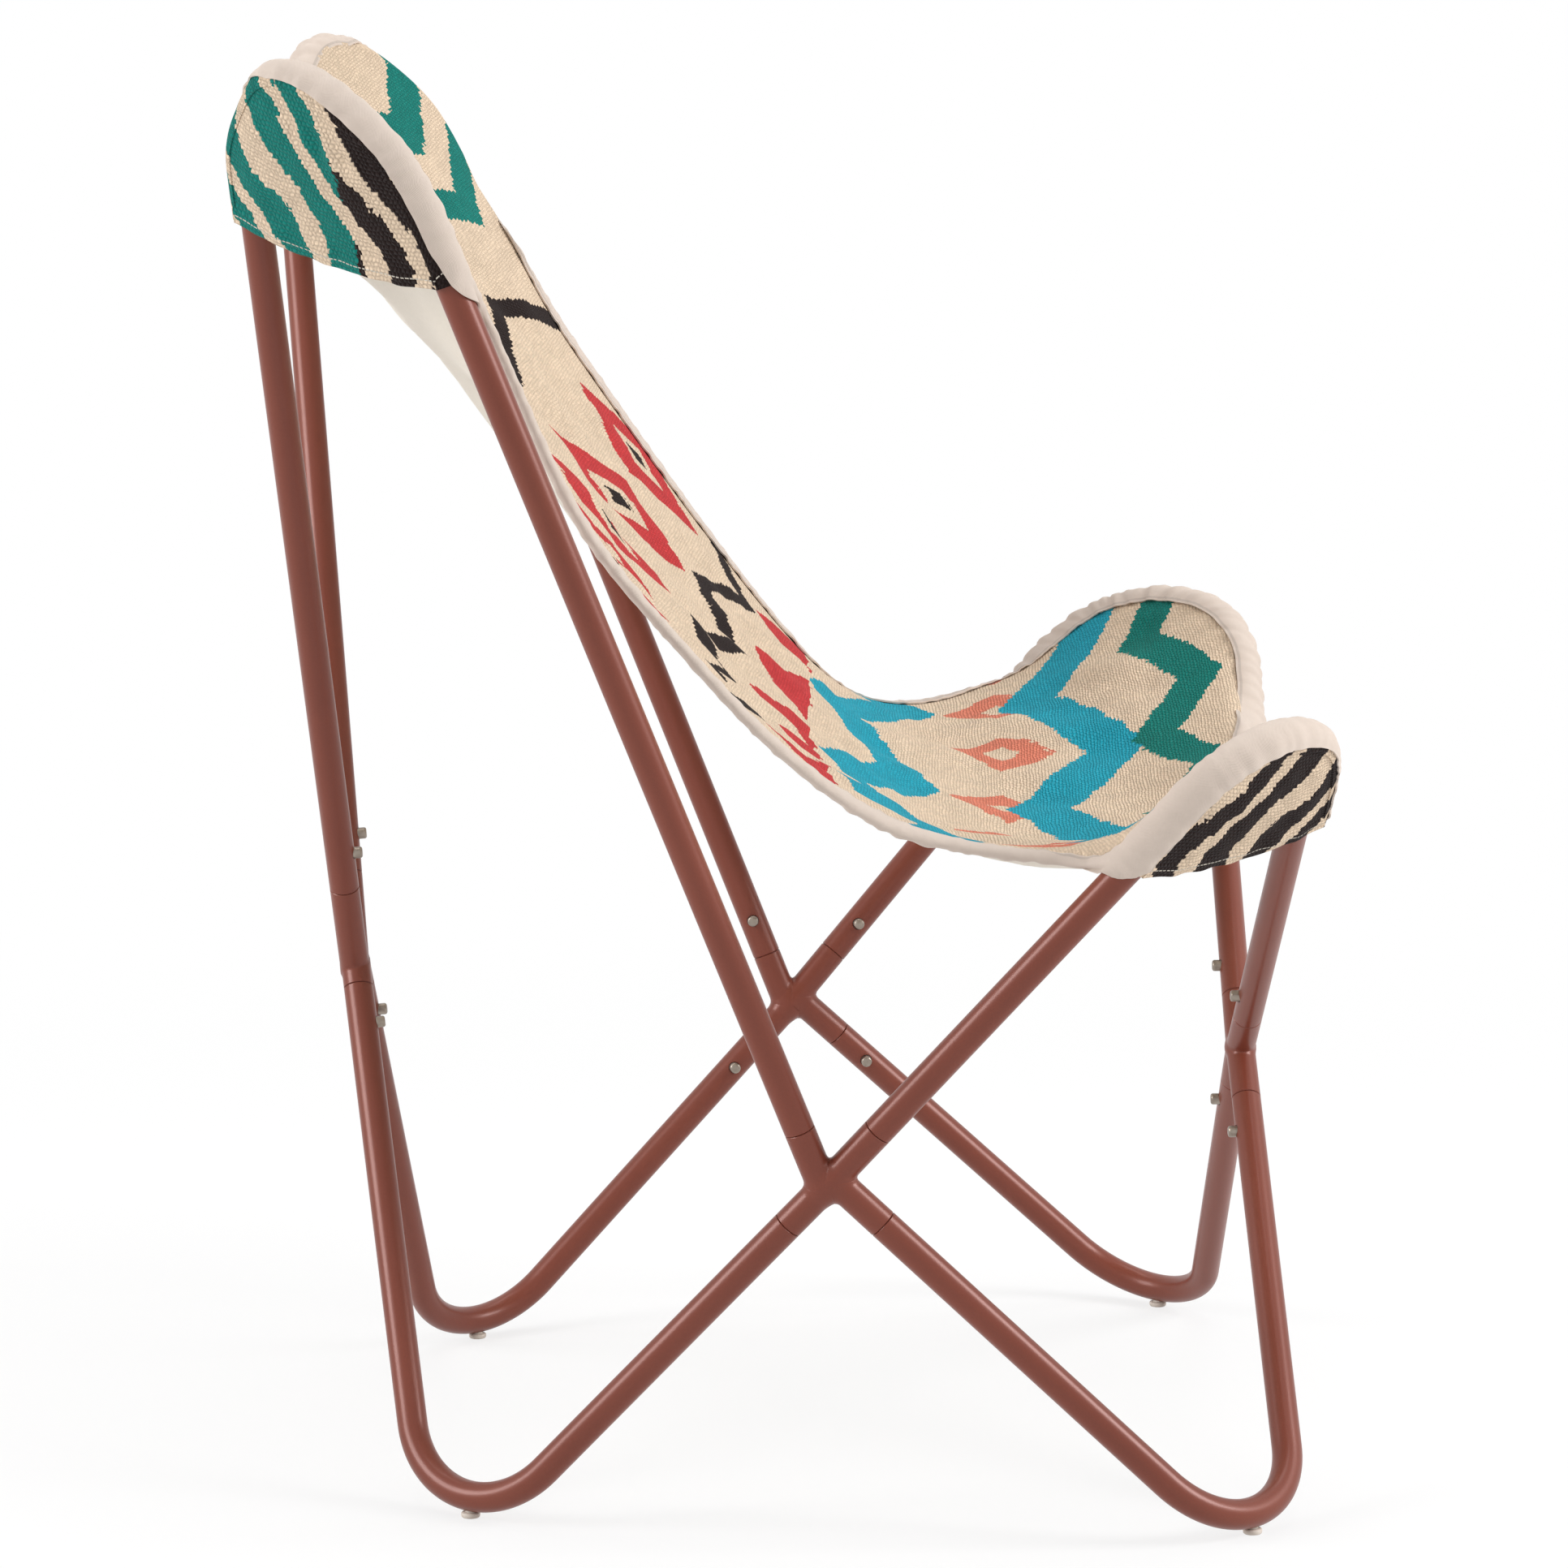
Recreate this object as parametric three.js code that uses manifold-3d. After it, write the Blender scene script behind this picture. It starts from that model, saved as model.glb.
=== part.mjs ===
// A butterfly sling chair: a knock-down steel tube frame with a woven sling hung on its four loops.
// Millimetres. X runs across the chair, -Y is its front and +Z is up; the floor is at zero.
import * as THREE from 'three';
import { mergeVertices } from 'three/addons/utils/BufferGeometryUtils.js';
import Module from 'manifold-3d';

const wasm = await Module();
wasm.setup();

// Tube
const tubeDiameter = 19;
const tubeWall = 1.5;
const fitGap = 0.3;
const cutOverrun = 2;

// Places of the four crossings, from the chair's middle plane, its middle across and the floor
const sideCrossOut = 280;
const sideCrossBack = -5;
const sideCrossUp = 222;
const rearCrossBack = 289.5;
const rearCrossUp = 303;
const rearCrossSplit = 6;
const frontCrossBack = -291;
const frontCrossUp = 247;
const rearStubSlip = -2;
const frontStubSlip = 7;

// Corners where the straight legs of each loop or foot would meet
const rearLoopOut = 369.5;
const rearLoopBack = 364;
const rearLoopUp = 1149;
const frontLoopOut = 362;
const frontLoopBack = -300;
const frontLoopUp = 561;
const rightRearFootOut = 233.5;
const leftRearFootOut = 216.5;
const rightRearFootBack = 237.5;
const leftRearFootBack = 241.5;
const frontFootOut = 309.5;
const frontFootBack = -297.5;

// Bend radii on the tube's centre line
const rearLoopRadius = 72.5;
const frontLoopRadius = 60;
const footRadius = 65;

// The rear loops are bent in goes: how much the runs between them are flattened, and where
const rearLoopFlat = 14.5;
const rearFlatMiddleShare = 0.65;
const rearFlatHalfShare = 1.25;
const rearLoopShoulder = 5;
const rearShoulderMiddleShare = -0.84;
const rearShoulderHalfShare = 0.62;

// Lengths of the arms of the crosses, from the crossing to the seam
const sideArmToRearLoop = 40;
const sideArmToFrontLoop = 48;
const sideArmToRearFoot = 34;
const sideArmToFrontFoot = 41;
const rearArmToLoop = 66;
const rearArmToFoot = 18;
const frontArmToLoop = 42;
const frontArmToFoot = 41;
const armRootOverlap = 1;

// Spigots on the arms, and the spring buttons in them
const spigotLength = 40;
const spigotWall = 1.2;
const buttonFromSeam = 26;
const buttonDiameter = 7.5;
const buttonProud = 5;
const buttonChamfer = 1;
const buttonHoleGap = 0.4;
const buttonFlangeDiameter = 9;
const buttonFlangeThickness = 0.8;
const buttonFlangeLift = 3.1;
const springWidth = 6;
const springThickness = 0.5;
const springLowLift = -5.3;
const springReach = 7;
const springBack = 22;

// Glides
const glideDiameter = 12;
const glideHeight = 4;
const glideChamfer = 1;
const glideStemDiameter = 7;
const glideStemInside = 1;

// Sling
const faceThickness = 1.6;
const liningThickness = 1;
const clothGap = 0.3;
const tubeToCloth = 0.4;
const bindingThickness = 2;
const bindingGap = 0.9;
const hemRollWidth = 9;
const sideDrop = 134;
const sideInset = 40;
const topEdgeSag = 28;
const topEdgeForward = 42;
const frontEdgeSag = 50;
const centreDrop = 150;
const drapeReach = 34;
const pocketBow = 6;

// How far the ears stand off their tubes at the side leg and the middle leg
const rightRearEarMiddleOff = 3;
const rightFrontEarMiddleOff = 11;
const leftFrontEarSideOff = 22;
const leftFrontEarMiddleOff = 23;
const standOffStartShare = 0.15;
const standOffEndShare = 1.6;
// The ears' bands wrap the outside of the tube between the rims of the inner sheet and the pocket
const rimOutside = 3;
const bandGap = 0.8;
const bandHalfAngle = 0.94;
const bandEndShare = 0.1;

// Where the sling's edges leave the loops, as shares of the bend radius run along the centre line
const rearLeaveShares = { middle: 1.8, side: 1.95 };
const frontLeaveShares = { middle: 2.1, side: 1.85 };
const rearHemShares = { middle: 1.9, side: 2.3 };
const frontHemShares = { middle: 2.3, side: 2.0 };

// Free side edges: run from the rear loop to the front loop, drop below that chord, inset
const rightEdgeShares = [
  [0.08, 0.39, 0.85], [0.19, 0.8, 0.93], [0.34, 0.95, 0.93], [0.49, 1.02, 0.9],
  [0.65, 0.93, 0.9], [0.76, 0.72, 0.87], [0.87, 0.47, 0.78], [0.95, 0.25, 0.42],
];
const leftEdgeShares = [
  [0.06, 0.11, 0.7], [0.14, 0.31, 0.9], [0.26, 0.51, 0.97], [0.41, 0.73, 1.02],
  [0.56, 0.9, 1.05], [0.68, 0.95, 1.03], [0.8, 0.665, 0.95], [0.91, 0.31, 0.7],
];
// Free rear and front edges: run across, sag and forward lean
const crossEdgeShares = [[0.22, 0.66, 0.68], [0.5, 1, 1], [0.78, 0.66, 0.68]];
// Middle line of the sling: run from its rear edge to its front edge, drop below that chord
const centreShares = [
  [0.09, 0.17], [0.17, 0.36], [0.28, 0.63], [0.37, 0.81], [0.46, 0.95], [0.55, 1.03],
  [0.63, 1.03], [0.72, 0.92], [0.82, 0.66], [0.91, 0.35],
];

// Steps of the curved shapes
const tubeSides = 10;
const bendSteps = 7;
const roundSides = 8;
const rearEarSteps = 6;
const frontEarSteps = 5;
const acrossSteps = 8;
const alongSteps = 13;
const bandSteps = 15;
const bandCorners = 4;
const pocketAcross = 8;
const pocketDown = 3;
const pocketTurn = 1;
const edgeBlendPower = 4;
const smoothRounds = 3;
const smoothShare = 0.4;
const foldSteps = 3;
const heightPasses = 30;
const earSamples = 7;
const tangentShare = 0.001;

// Sizes worked out from the above
const tubeRadius = tubeDiameter / 2;
const boreRadius = tubeRadius - tubeWall;
// A bore is drawn with its flats, not its corners, at its radius
const flatFactor = 1 / Math.cos(Math.PI / tubeSides);
const spigotRadius = boreRadius - fitGap;
const spigotBore = spigotRadius - spigotWall;
const buttonRadius = buttonDiameter / 2;
const clothRim = tubeRadius + tubeToCloth;
const sheetLift = clothRim + liningThickness + clothGap / 2;
const faceTop = clothGap / 2 + faceThickness;
const liningBottom = clothGap / 2 + liningThickness;

const metal = { color: 0x8c4e41, roughness: 0.38, metalness: 0.5 };
const steel = { color: 0x8c8276, roughness: 0.35, metalness: 0.9 };
const glideNylon = { color: 0xe1d7cd, roughness: 0.5, metalness: 0 };
const kilim = { color: 0xdcc6a5, roughness: 0.95, metalness: 0 };
const canvas = { color: 0xe6dcd0, roughness: 0.9, metalness: 0 };

const vec = (x, y, z) => new THREE.Vector3(x, y, z);
const direction = (from, to) => to.clone().sub(from).normalize();
const along = (point, heading, length) => point.clone().addScaledVector(heading, length);
const mirrored = (point) => vec(-point.x, point.y, point.z);

const chair = new THREE.Group();
function addMesh(name, geometry, look) {
  const mesh = new THREE.Mesh(geometry, new THREE.MeshStandardMaterial(look));
  mesh.name = name;
  chair.add(mesh);
  return mesh;
}

// Solids for cutting and joining
function solid(geometry) {
  const bare = geometry.clone();
  bare.deleteAttribute('normal');
  bare.deleteAttribute('uv');
  const merged = mergeVertices(bare);
  return new wasm.Manifold(new wasm.Mesh({
    numProp: 3,
    vertProperties: new Float32Array(merged.attributes.position.array),
    triVerts: new Uint32Array(merged.index.array),
  }));
}
function toGeometry(manifold) {
  const mesh = manifold.getMesh();
  const geometry = new THREE.BufferGeometry();
  geometry.setAttribute('position', new THREE.BufferAttribute(mesh.vertProperties, 3));
  geometry.setIndex(new THREE.BufferAttribute(mesh.triVerts, 1));
  geometry.computeVertexNormals();
  return geometry;
}
function rod(from, to, radius, sides) {
  const length = from.distanceTo(to);
  const geometry = new THREE.CylinderGeometry(radius, radius, length, sides);
  const turnTo = new THREE.Quaternion().setFromUnitVectors(vec(0, 1, 0), direction(from, to));
  geometry.applyQuaternion(turnTo);
  geometry.translate(...from.clone().add(to).divideScalar(2).toArray());
  return solid(geometry);
}
const hole = (from, to, radius) => rod(from, to, radius * flatFactor, tubeSides);

// A bend between two straight legs: the corner, the points that the legs run to, and the radius
class Bend {
  constructor(corner, sideEnd, middleEnd, radius, inside) {
    this.sideEnd = sideEnd;
    this.middleEnd = middleEnd;
    this.radius = radius;
    this.toSide = direction(corner, sideEnd);
    this.toMiddle = direction(corner, middleEnd);
    const half = this.toSide.angleTo(this.toMiddle) / 2;
    this.up = this.toSide.clone().add(this.toMiddle).normalize().negate();
    this.centre = along(corner, this.up, -radius / Math.sin(half));
    this.reach = Math.PI / 2 - half;
    this.curveStart = -this.reach;
    this.curveEnd = this.reach;
    this.flats = [];
    const across = this.toSide.clone().sub(this.toMiddle);
    this.side = across.addScaledVector(this.up, -across.dot(this.up)).normalize();
    this.normal = vec(0, 0, 0).crossVectors(this.up, this.side);
    if (this.normal.dot(inside) < 0) this.normal.negate();
  }
  flattened() {
    this.flats = [
      [rearLoopFlat, rearFlatMiddleShare, rearFlatHalfShare],
      [rearLoopShoulder, rearShoulderMiddleShare, rearShoulderHalfShare],
    ];
    this.curveStart = rearShoulderMiddleShare - rearShoulderHalfShare;
    this.curveEnd = rearFlatMiddleShare + rearFlatHalfShare;
    return this;
  }
  // How far the centre line lies outside the round bend
  rise(turn) {
    let total = 0;
    for (const [depth, middle, half] of this.flats) {
      const away = Math.min(Math.abs(turn - middle) / half, 1);
      total -= depth * Math.cos(away * Math.PI / 2) ** 2;
    }
    return total;
  }
  outward(turn) {
    const angle = THREE.MathUtils.clamp(turn, -this.reach, this.reach);
    return this.up.clone().multiplyScalar(Math.cos(angle)).addScaledVector(this.side, Math.sin(angle));
  }
  // A point beside the centre line: turn is in radii run from the top, positive on the side leg
  point(turn, outside = 0, lift = 0) {
    const place = along(this.centre, this.outward(turn), this.radius + this.rise(turn) + outside);
    const leg = turn > 0 ? this.toSide : this.toMiddle;
    place.addScaledVector(leg, Math.max(Math.abs(turn) - this.reach, 0) * this.radius);
    return place.addScaledVector(this.normal, lift);
  }
  tangent(turn) {
    return direction(this.point(turn - tangentShare), this.point(turn + tangentShare));
  }
  // The nearest turn, the distance outside the centre line and the height above the loop's plane
  measure(point) {
    const from = point.clone().sub(this.centre);
    const angle = Math.atan2(from.dot(this.side), from.dot(this.up));
    const leg = angle > 0 ? this.toSide : this.toMiddle;
    const run = this.reach + from.dot(leg) / this.radius;
    const turn = Math.abs(angle) > this.reach ? Math.sign(angle) * run : angle;
    const outside = from.dot(this.outward(turn)) - this.radius - this.rise(turn);
    return { turn, outside, lift: from.dot(this.normal) };
  }
}

// A path through given stations, each with its own tangent
class StationPath extends THREE.Curve {
  constructor(stations) {
    super();
    this.stations = stations;
  }
  station(share) {
    return this.stations[Math.round(share * (this.stations.length - 1))];
  }
  getPointAt(share) {
    return this.station(share).point.clone();
  }
  getTangentAt(share) {
    return this.station(share).tangent.clone();
  }
}
function ringSection() {
  const section = new THREE.Shape();
  section.absarc(0, 0, tubeRadius, 0, 2 * Math.PI);
  const bore = new THREE.Path();
  bore.absarc(0, 0, boreRadius * flatFactor, 0, 2 * Math.PI);
  section.holes.push(bore);
  return section;
}
function bentTube(bend, sideStart, middleStart) {
  const stations = [{ point: middleStart, tangent: bend.tangent(-Math.PI) }];
  const run = bend.curveEnd - bend.curveStart;
  const steps = Math.round(bendSteps * run / (2 * bend.reach));
  for (let i = 0; i <= steps; i++) {
    const turn = bend.curveStart + run * i / steps;
    stations.push({ point: bend.point(turn), tangent: bend.tangent(turn) });
  }
  stations.push({ point: sideStart, tangent: bend.tangent(Math.PI) });
  return solid(new THREE.ExtrudeGeometry(ringSection(), {
    steps: stations.length - 1,
    curveSegments: tubeSides / 2,
    bevelEnabled: false,
    extrudePath: new StationPath(stations),
  }));
}

// The crossings, and the corners of one side's loops
const rearUpperNode = vec(0, rearCrossBack, rearCrossUp);
const rearLowerNode = vec(0, rearCrossBack, rearCrossUp + rearCrossSplit);
const frontNode = vec(0, frontCrossBack, frontCrossUp);
const sideNode = vec(sideCrossOut, sideCrossBack, sideCrossUp);
const rearLoopCorner = vec(rearLoopOut, rearLoopBack, rearLoopUp);
const frontLoopCorner = vec(frontLoopOut, frontLoopBack, frontLoopUp);

// A foot's corner height follows from its bend: the tube's underside stands on the glide
function footBend(out, back, sideEnd, middleEnd) {
  const lowestCentre = glideHeight + tubeRadius;
  let height = 0;
  let bend;
  for (let pass = 0; pass < heightPasses; pass++) {
    bend = new Bend(vec(out, back, height), sideEnd, middleEnd, footRadius, vec(-1, 0, 0));
    bend.lowTurn = Math.atan2(-bend.side.z, -bend.up.z);
    height += lowestCentre - bend.point(bend.lowTurn).z;
  }
  return bend;
}
const throughHeading = direction(
  vec(rightRearFootOut, rightRearFootBack, -footRadius / 2), frontLoopCorner);
const rearStubNode = along(sideNode, throughHeading, rearStubSlip);
const frontStubNode = along(sideNode, throughHeading, frontStubSlip);

// One side's bends, drawn on the side where X is positive and mirrored as needed
function sideBends(rearFootOut, rearFootBack) {
  const rearLoop = new Bend(
    rearLoopCorner, rearStubNode, rearUpperNode, rearLoopRadius, vec(-1, -1, 0));
  return {
    rear_loop: rearLoop.flattened(),
    front_loop: new Bend(frontLoopCorner, sideNode, frontNode, frontLoopRadius, vec(-1, 1, 1)),
    rear_foot: footBend(rearFootOut, rearFootBack, sideNode, rearLowerNode),
    front_foot: footBend(frontFootOut, frontFootBack, frontStubNode, frontNode),
  };
}
function mirrorBend(bend) {
  const copy = Object.assign(Object.create(Bend.prototype), bend);
  for (const key of ['sideEnd', 'middleEnd', 'toSide', 'toMiddle', 'up', 'centre', 'side', 'normal']) {
    copy[key] = mirrored(bend[key]);
  }
  return copy;
}
const bends = {
  left: sideBends(leftRearFootOut, leftRearFootBack),
  right: sideBends(rightRearFootOut, rightRearFootBack),
};
for (const [name, bend] of Object.entries(bends.right)) bends.right[name] = mirrorBend(bend);
const sides = ['right', 'left'];
const outOf = { right: -1, left: 1 };

const sideArms = {
  rear_loop: sideArmToRearLoop,
  front_loop: sideArmToFrontLoop,
  rear_foot: sideArmToRearFoot,
  front_foot: sideArmToFrontFoot,
};
const middleArms = {
  rear_loop: rearArmToLoop,
  front_loop: frontArmToLoop,
  rear_foot: rearArmToFoot,
  front_foot: frontArmToFoot,
};

// Every tube end that meets a cross: its node, its heading, its arm and its button's heading
function armOf(side, name, end) {
  const bend = bends[side][name];
  const node = end === 'side' ? bend.sideEnd : bend.middleEnd;
  const heading = (end === 'side' ? bend.toSide : bend.toMiddle).clone().negate();
  const length = (end === 'side' ? sideArms : middleArms)[name];
  const inward = end === 'side' ? vec(-outOf[side], 0, 0) : vec(0, -Math.sign(node.y), 0);
  const press = inward.addScaledVector(heading, -inward.dot(heading)).normalize();
  const seam = along(node, heading, length);
  const through = end === 'side' ? ['rear_foot', 'front_loop'].includes(name)
    : side === (name.endsWith('loop') ? 'left' : 'right');
  const buttonSpot = along(seam, heading, buttonFromSeam);
  return { node, heading, length, press, seam, through, buttonSpot };
}
function buttonHole(arm) {
  const start = along(arm.buttonSpot, arm.press, spigotBore / 2);
  const end = along(arm.buttonSpot, arm.press, tubeRadius + cutOverrun);
  return hole(start, end, buttonRadius + buttonHoleGap);
}
const tubeNames = Object.keys(bends.left);
const arms = {};
for (const side of sides) {
  for (const name of tubeNames) {
    for (const end of ['side', 'middle']) arms[`${side}_${name}_${end}`] = armOf(side, name, end);
  }
}

// Welded crosses: four arms, each with a hollow spigot beyond its seam
function cross(name, members) {
  let body = null;
  const join = (piece) => {
    body = body ? body.add(piece) : piece;
  };
  for (const arm of members) {
    const root = along(arm.node, arm.heading, -armRootOverlap);
    join(rod(root, along(arm.seam, arm.heading, -fitGap / 2), tubeRadius, tubeSides));
    join(rod(root, along(arm.seam, arm.heading, spigotLength), spigotRadius, tubeSides));
  }
  for (const arm of members) {
    const start = arm.through ? arm.node : along(arm.node, arm.heading, tubeRadius);
    body = body.subtract(
      hole(start, along(arm.seam, arm.heading, spigotLength + cutOverrun), spigotBore));
    body = body.subtract(buttonHole(arm));
  }
  addMesh(name, toGeometry(body), metal);
}
for (const side of sides) cross(`${side}_cross`, tubeNames.map((name) => arms[`${side}_${name}_side`]));
for (const place of ['rear', 'front']) {
  const members = sides.flatMap((side) => [
    arms[`${side}_${place}_loop_middle`], arms[`${side}_${place}_foot_middle`]]);
  cross(`${place}_cross`, members);
}

// Glides: a button foot under each floor bend, its stem pressed through a hole in the tube
function glideGeometry() {
  const stem = glideStemDiameter / 2;
  const radius = glideDiameter / 2;
  const top = glideHeight - fitGap;
  const profile = [
    [0, 0], [radius - glideChamfer, 0], [radius, glideChamfer], [radius, top - glideChamfer],
    [stem + glideChamfer, top], [stem, top], [stem, glideHeight + tubeWall + glideStemInside],
    [0, glideHeight + tubeWall + glideStemInside],
  ].map(([x, y]) => new THREE.Vector2(x, y));
  const geometry = new THREE.LatheGeometry(profile, roundSides);
  geometry.rotateX(Math.PI / 2);
  return geometry;
}

// Loops and feet: one bent tube each, with a button hole near both ends
for (const side of sides) {
  for (const name of tubeNames) {
    const bend = bends[side][name];
    const ends = ['side', 'middle'].map((end) => arms[`${side}_${name}_${end}`]);
    const starts = ends.map((arm) => along(arm.seam, arm.heading, fitGap / 2));
    let tube = bentTube(bend, ...starts);
    for (const arm of ends) tube = tube.subtract(buttonHole(arm));
    if (name.endsWith('foot')) {
      const low = bend.point(bend.lowTurn);
      const under = vec(low.x, low.y, 0);
      const stemHole = glideStemDiameter / 2 + fitGap;
      tube = tube.subtract(hole(under, low, stemHole));
      const glide = addMesh(`${side}_${name.split('_')[0]}_glide`, glideGeometry(), glideNylon);
      glide.position.copy(under);
    }
    addMesh(`${side}_${name}`, toGeometry(tube), metal);
  }
}

// Spring buttons: a chamfered pin on a flange, lifted by a folded leaf spring inside the spigot
function buttonGeometry() {
  const top = tubeRadius + buttonProud;
  const flange = buttonFlangeDiameter / 2;
  const shoulder = buttonFlangeLift + buttonFlangeThickness;
  const profile = [
    [0, buttonFlangeLift], [flange, buttonFlangeLift], [flange, shoulder], [buttonRadius, shoulder],
    [buttonRadius, top - buttonChamfer], [buttonRadius - buttonChamfer, top], [0, top],
  ].map(([x, y]) => new THREE.Vector2(x, y));
  return new THREE.LatheGeometry(profile, roundSides);
}
function springGeometry() {
  const upper = buttonFlangeLift - fitGap;
  const lower = springLowLift;
  const fold = (upper - lower) / 2;
  const outline = new THREE.Shape();
  outline.moveTo(-springReach, upper);
  outline.lineTo(springBack, upper);
  outline.absarc(springBack, upper - fold, fold, Math.PI / 2, -Math.PI / 2, true);
  outline.lineTo(-springReach, lower);
  outline.lineTo(-springReach, lower + springThickness);
  outline.lineTo(springBack, lower + springThickness);
  outline.absarc(springBack, upper - fold, fold - springThickness, -Math.PI / 2, Math.PI / 2, false);
  outline.lineTo(-springReach, upper - springThickness);
  outline.closePath();
  const strip = new THREE.ExtrudeGeometry(outline, {
    depth: springWidth, steps: 1, curveSegments: foldSteps, bevelEnabled: false });
  strip.translate(0, 0, -springWidth / 2);
  return strip;
}
for (const [name, arm] of Object.entries(arms)) {
  // The spring's fold points back towards the crossing, into the longer part of the bore
  const back = arm.heading.clone().negate();
  const frame = new THREE.Matrix4().makeBasis(back, arm.press, back.clone().cross(arm.press));
  for (const [part, shape] of [['button', buttonGeometry()], ['spring', springGeometry()]]) {
    const piece = addMesh(`${name}_${part}`, shape, steel);
    piece.quaternion.setFromRotationMatrix(frame);
    piece.position.copy(arm.buttonSpot);
  }
}

// An ear of the sling: the outline that its cloth follows round a loop
class Ear {
  constructor(bend, sideOff = 0, middleOff = 0) {
    this.bend = bend;
    this.sideOff = sideOff;
    this.middleOff = middleOff;
    this.arcLength = bend.reach * (bend.radius + rimOutside);
  }
  // How far the cloth's wrap is centred outside the tube's centre line
  offset(turn) {
    const share = THREE.MathUtils.smoothstep(Math.abs(turn), standOffStartShare, standOffEndShare);
    return share * (turn > 0 ? this.sideOff : this.middleOff);
  }
  outside(turn) {
    return rimOutside + this.offset(turn);
  }
  rim(turn) {
    return this.bend.point(turn, this.outside(turn), sheetLift);
  }
  pocketRim(turn) {
    return this.bend.point(turn, this.outside(turn), -clothRim);
  }
  // A point of the wrap at an angle from straight outwards, towards the chair's inside
  wrap(turn, radius, angle) {
    const outside = this.offset(turn) + radius * Math.cos(angle);
    return this.bend.point(turn, outside, radius * Math.sin(angle));
  }
  rims(from, to) {
    const shares = Array.from({ length: earSamples }, (_, i) => i / (earSamples - 1));
    return shares.map((share) => this.rim(THREE.MathUtils.lerp(from, to, share)));
  }
}
const ears = {
  right_rear: new Ear(bends.right.rear_loop, 0, rightRearEarMiddleOff),
  left_rear: new Ear(bends.left.rear_loop),
  right_front: new Ear(bends.right.front_loop, 0, rightFrontEarMiddleOff),
  left_front: new Ear(bends.left.front_loop, leftFrontEarSideOff, leftFrontEarMiddleOff),
};

// An edge of the sling runs round one ear, free across and round the next ear
const smoothCurve = (points) => new THREE.CatmullRomCurve3(points, false, 'centripetal');
class Edge {
  constructor(firstEar, lastEar, firstLeave, lastLeave, free) {
    const first = firstEar.rims(0, firstLeave);
    const last = lastEar.rims(lastLeave, 0);
    this.curve = smoothCurve([...first, ...free(first.at(-1), last[0]), ...last]);
    const length = this.curve.getLength();
    this.firstArc = firstEar.arcLength / length;
    this.lastArc = lastEar.arcLength / length;
  }
  // A place on the edge by step: close steps round the ears, wide ones between them
  share(step, firstSteps, freeSteps, lastSteps) {
    const late = step - firstSteps - freeSteps;
    if (step <= firstSteps) return this.firstArc * step / firstSteps;
    if (late >= 0) return 1 - this.lastArc * (1 - late / lastSteps);
    return THREE.MathUtils.lerp(this.firstArc, 1 - this.lastArc, (step - firstSteps) / freeSteps);
  }
}
function sideEdge(side, shares) {
  const free = (start, end) => shares.map(([run, drop, inset]) => {
    const point = start.clone().lerp(end, run);
    return point.add(vec(-outOf[side] * inset * sideInset, 0, -drop * sideDrop));
  });
  const [first, last] = [ears[`${side}_rear`], ears[`${side}_front`]];
  return new Edge(first, last, rearLeaveShares.side, frontLeaveShares.side, free);
}
function crossEdge(place, leave, sag, forward) {
  const free = (start, end) => crossEdgeShares.map(([run, drop, lean]) => {
    const point = start.clone().lerp(end, run);
    return point.add(vec(0, -lean * forward, -drop * sag));
  });
  return new Edge(ears[`right_${place}`], ears[`left_${place}`], -leave, -leave, free);
}
const rightEdge = sideEdge('right', rightEdgeShares);
const leftEdge = sideEdge('left', leftEdgeShares);
const rearEdge = crossEdge('rear', rearLeaveShares.middle, topEdgeSag, topEdgeForward);
const frontEdge = crossEdge('front', frontLeaveShares.middle, frontEdgeSag, 0);
const rearMiddle = rearEdge.curve.getPointAt(1 / 2);
const frontMiddle = frontEdge.curve.getPointAt(1 / 2);
const centreLine = smoothCurve([
  rearMiddle,
  ...centreShares.map(([run, drop]) => {
    const point = rearMiddle.clone().lerp(frontMiddle, run);
    return point.add(vec(0, 0, -drop * centreDrop));
  }),
  frontMiddle,
]);

// Cloth lies on the inner side of a loop's tube, never through it
function drape(point) {
  for (const { bend } of Object.values(ears)) {
    const { outside, lift } = bend.measure(point);
    if (Math.abs(outside) < drapeReach && Math.abs(lift) < sheetLift) {
      point.addScaledVector(bend.normal, sheetLift - lift);
    }
  }
  return point;
}

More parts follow.
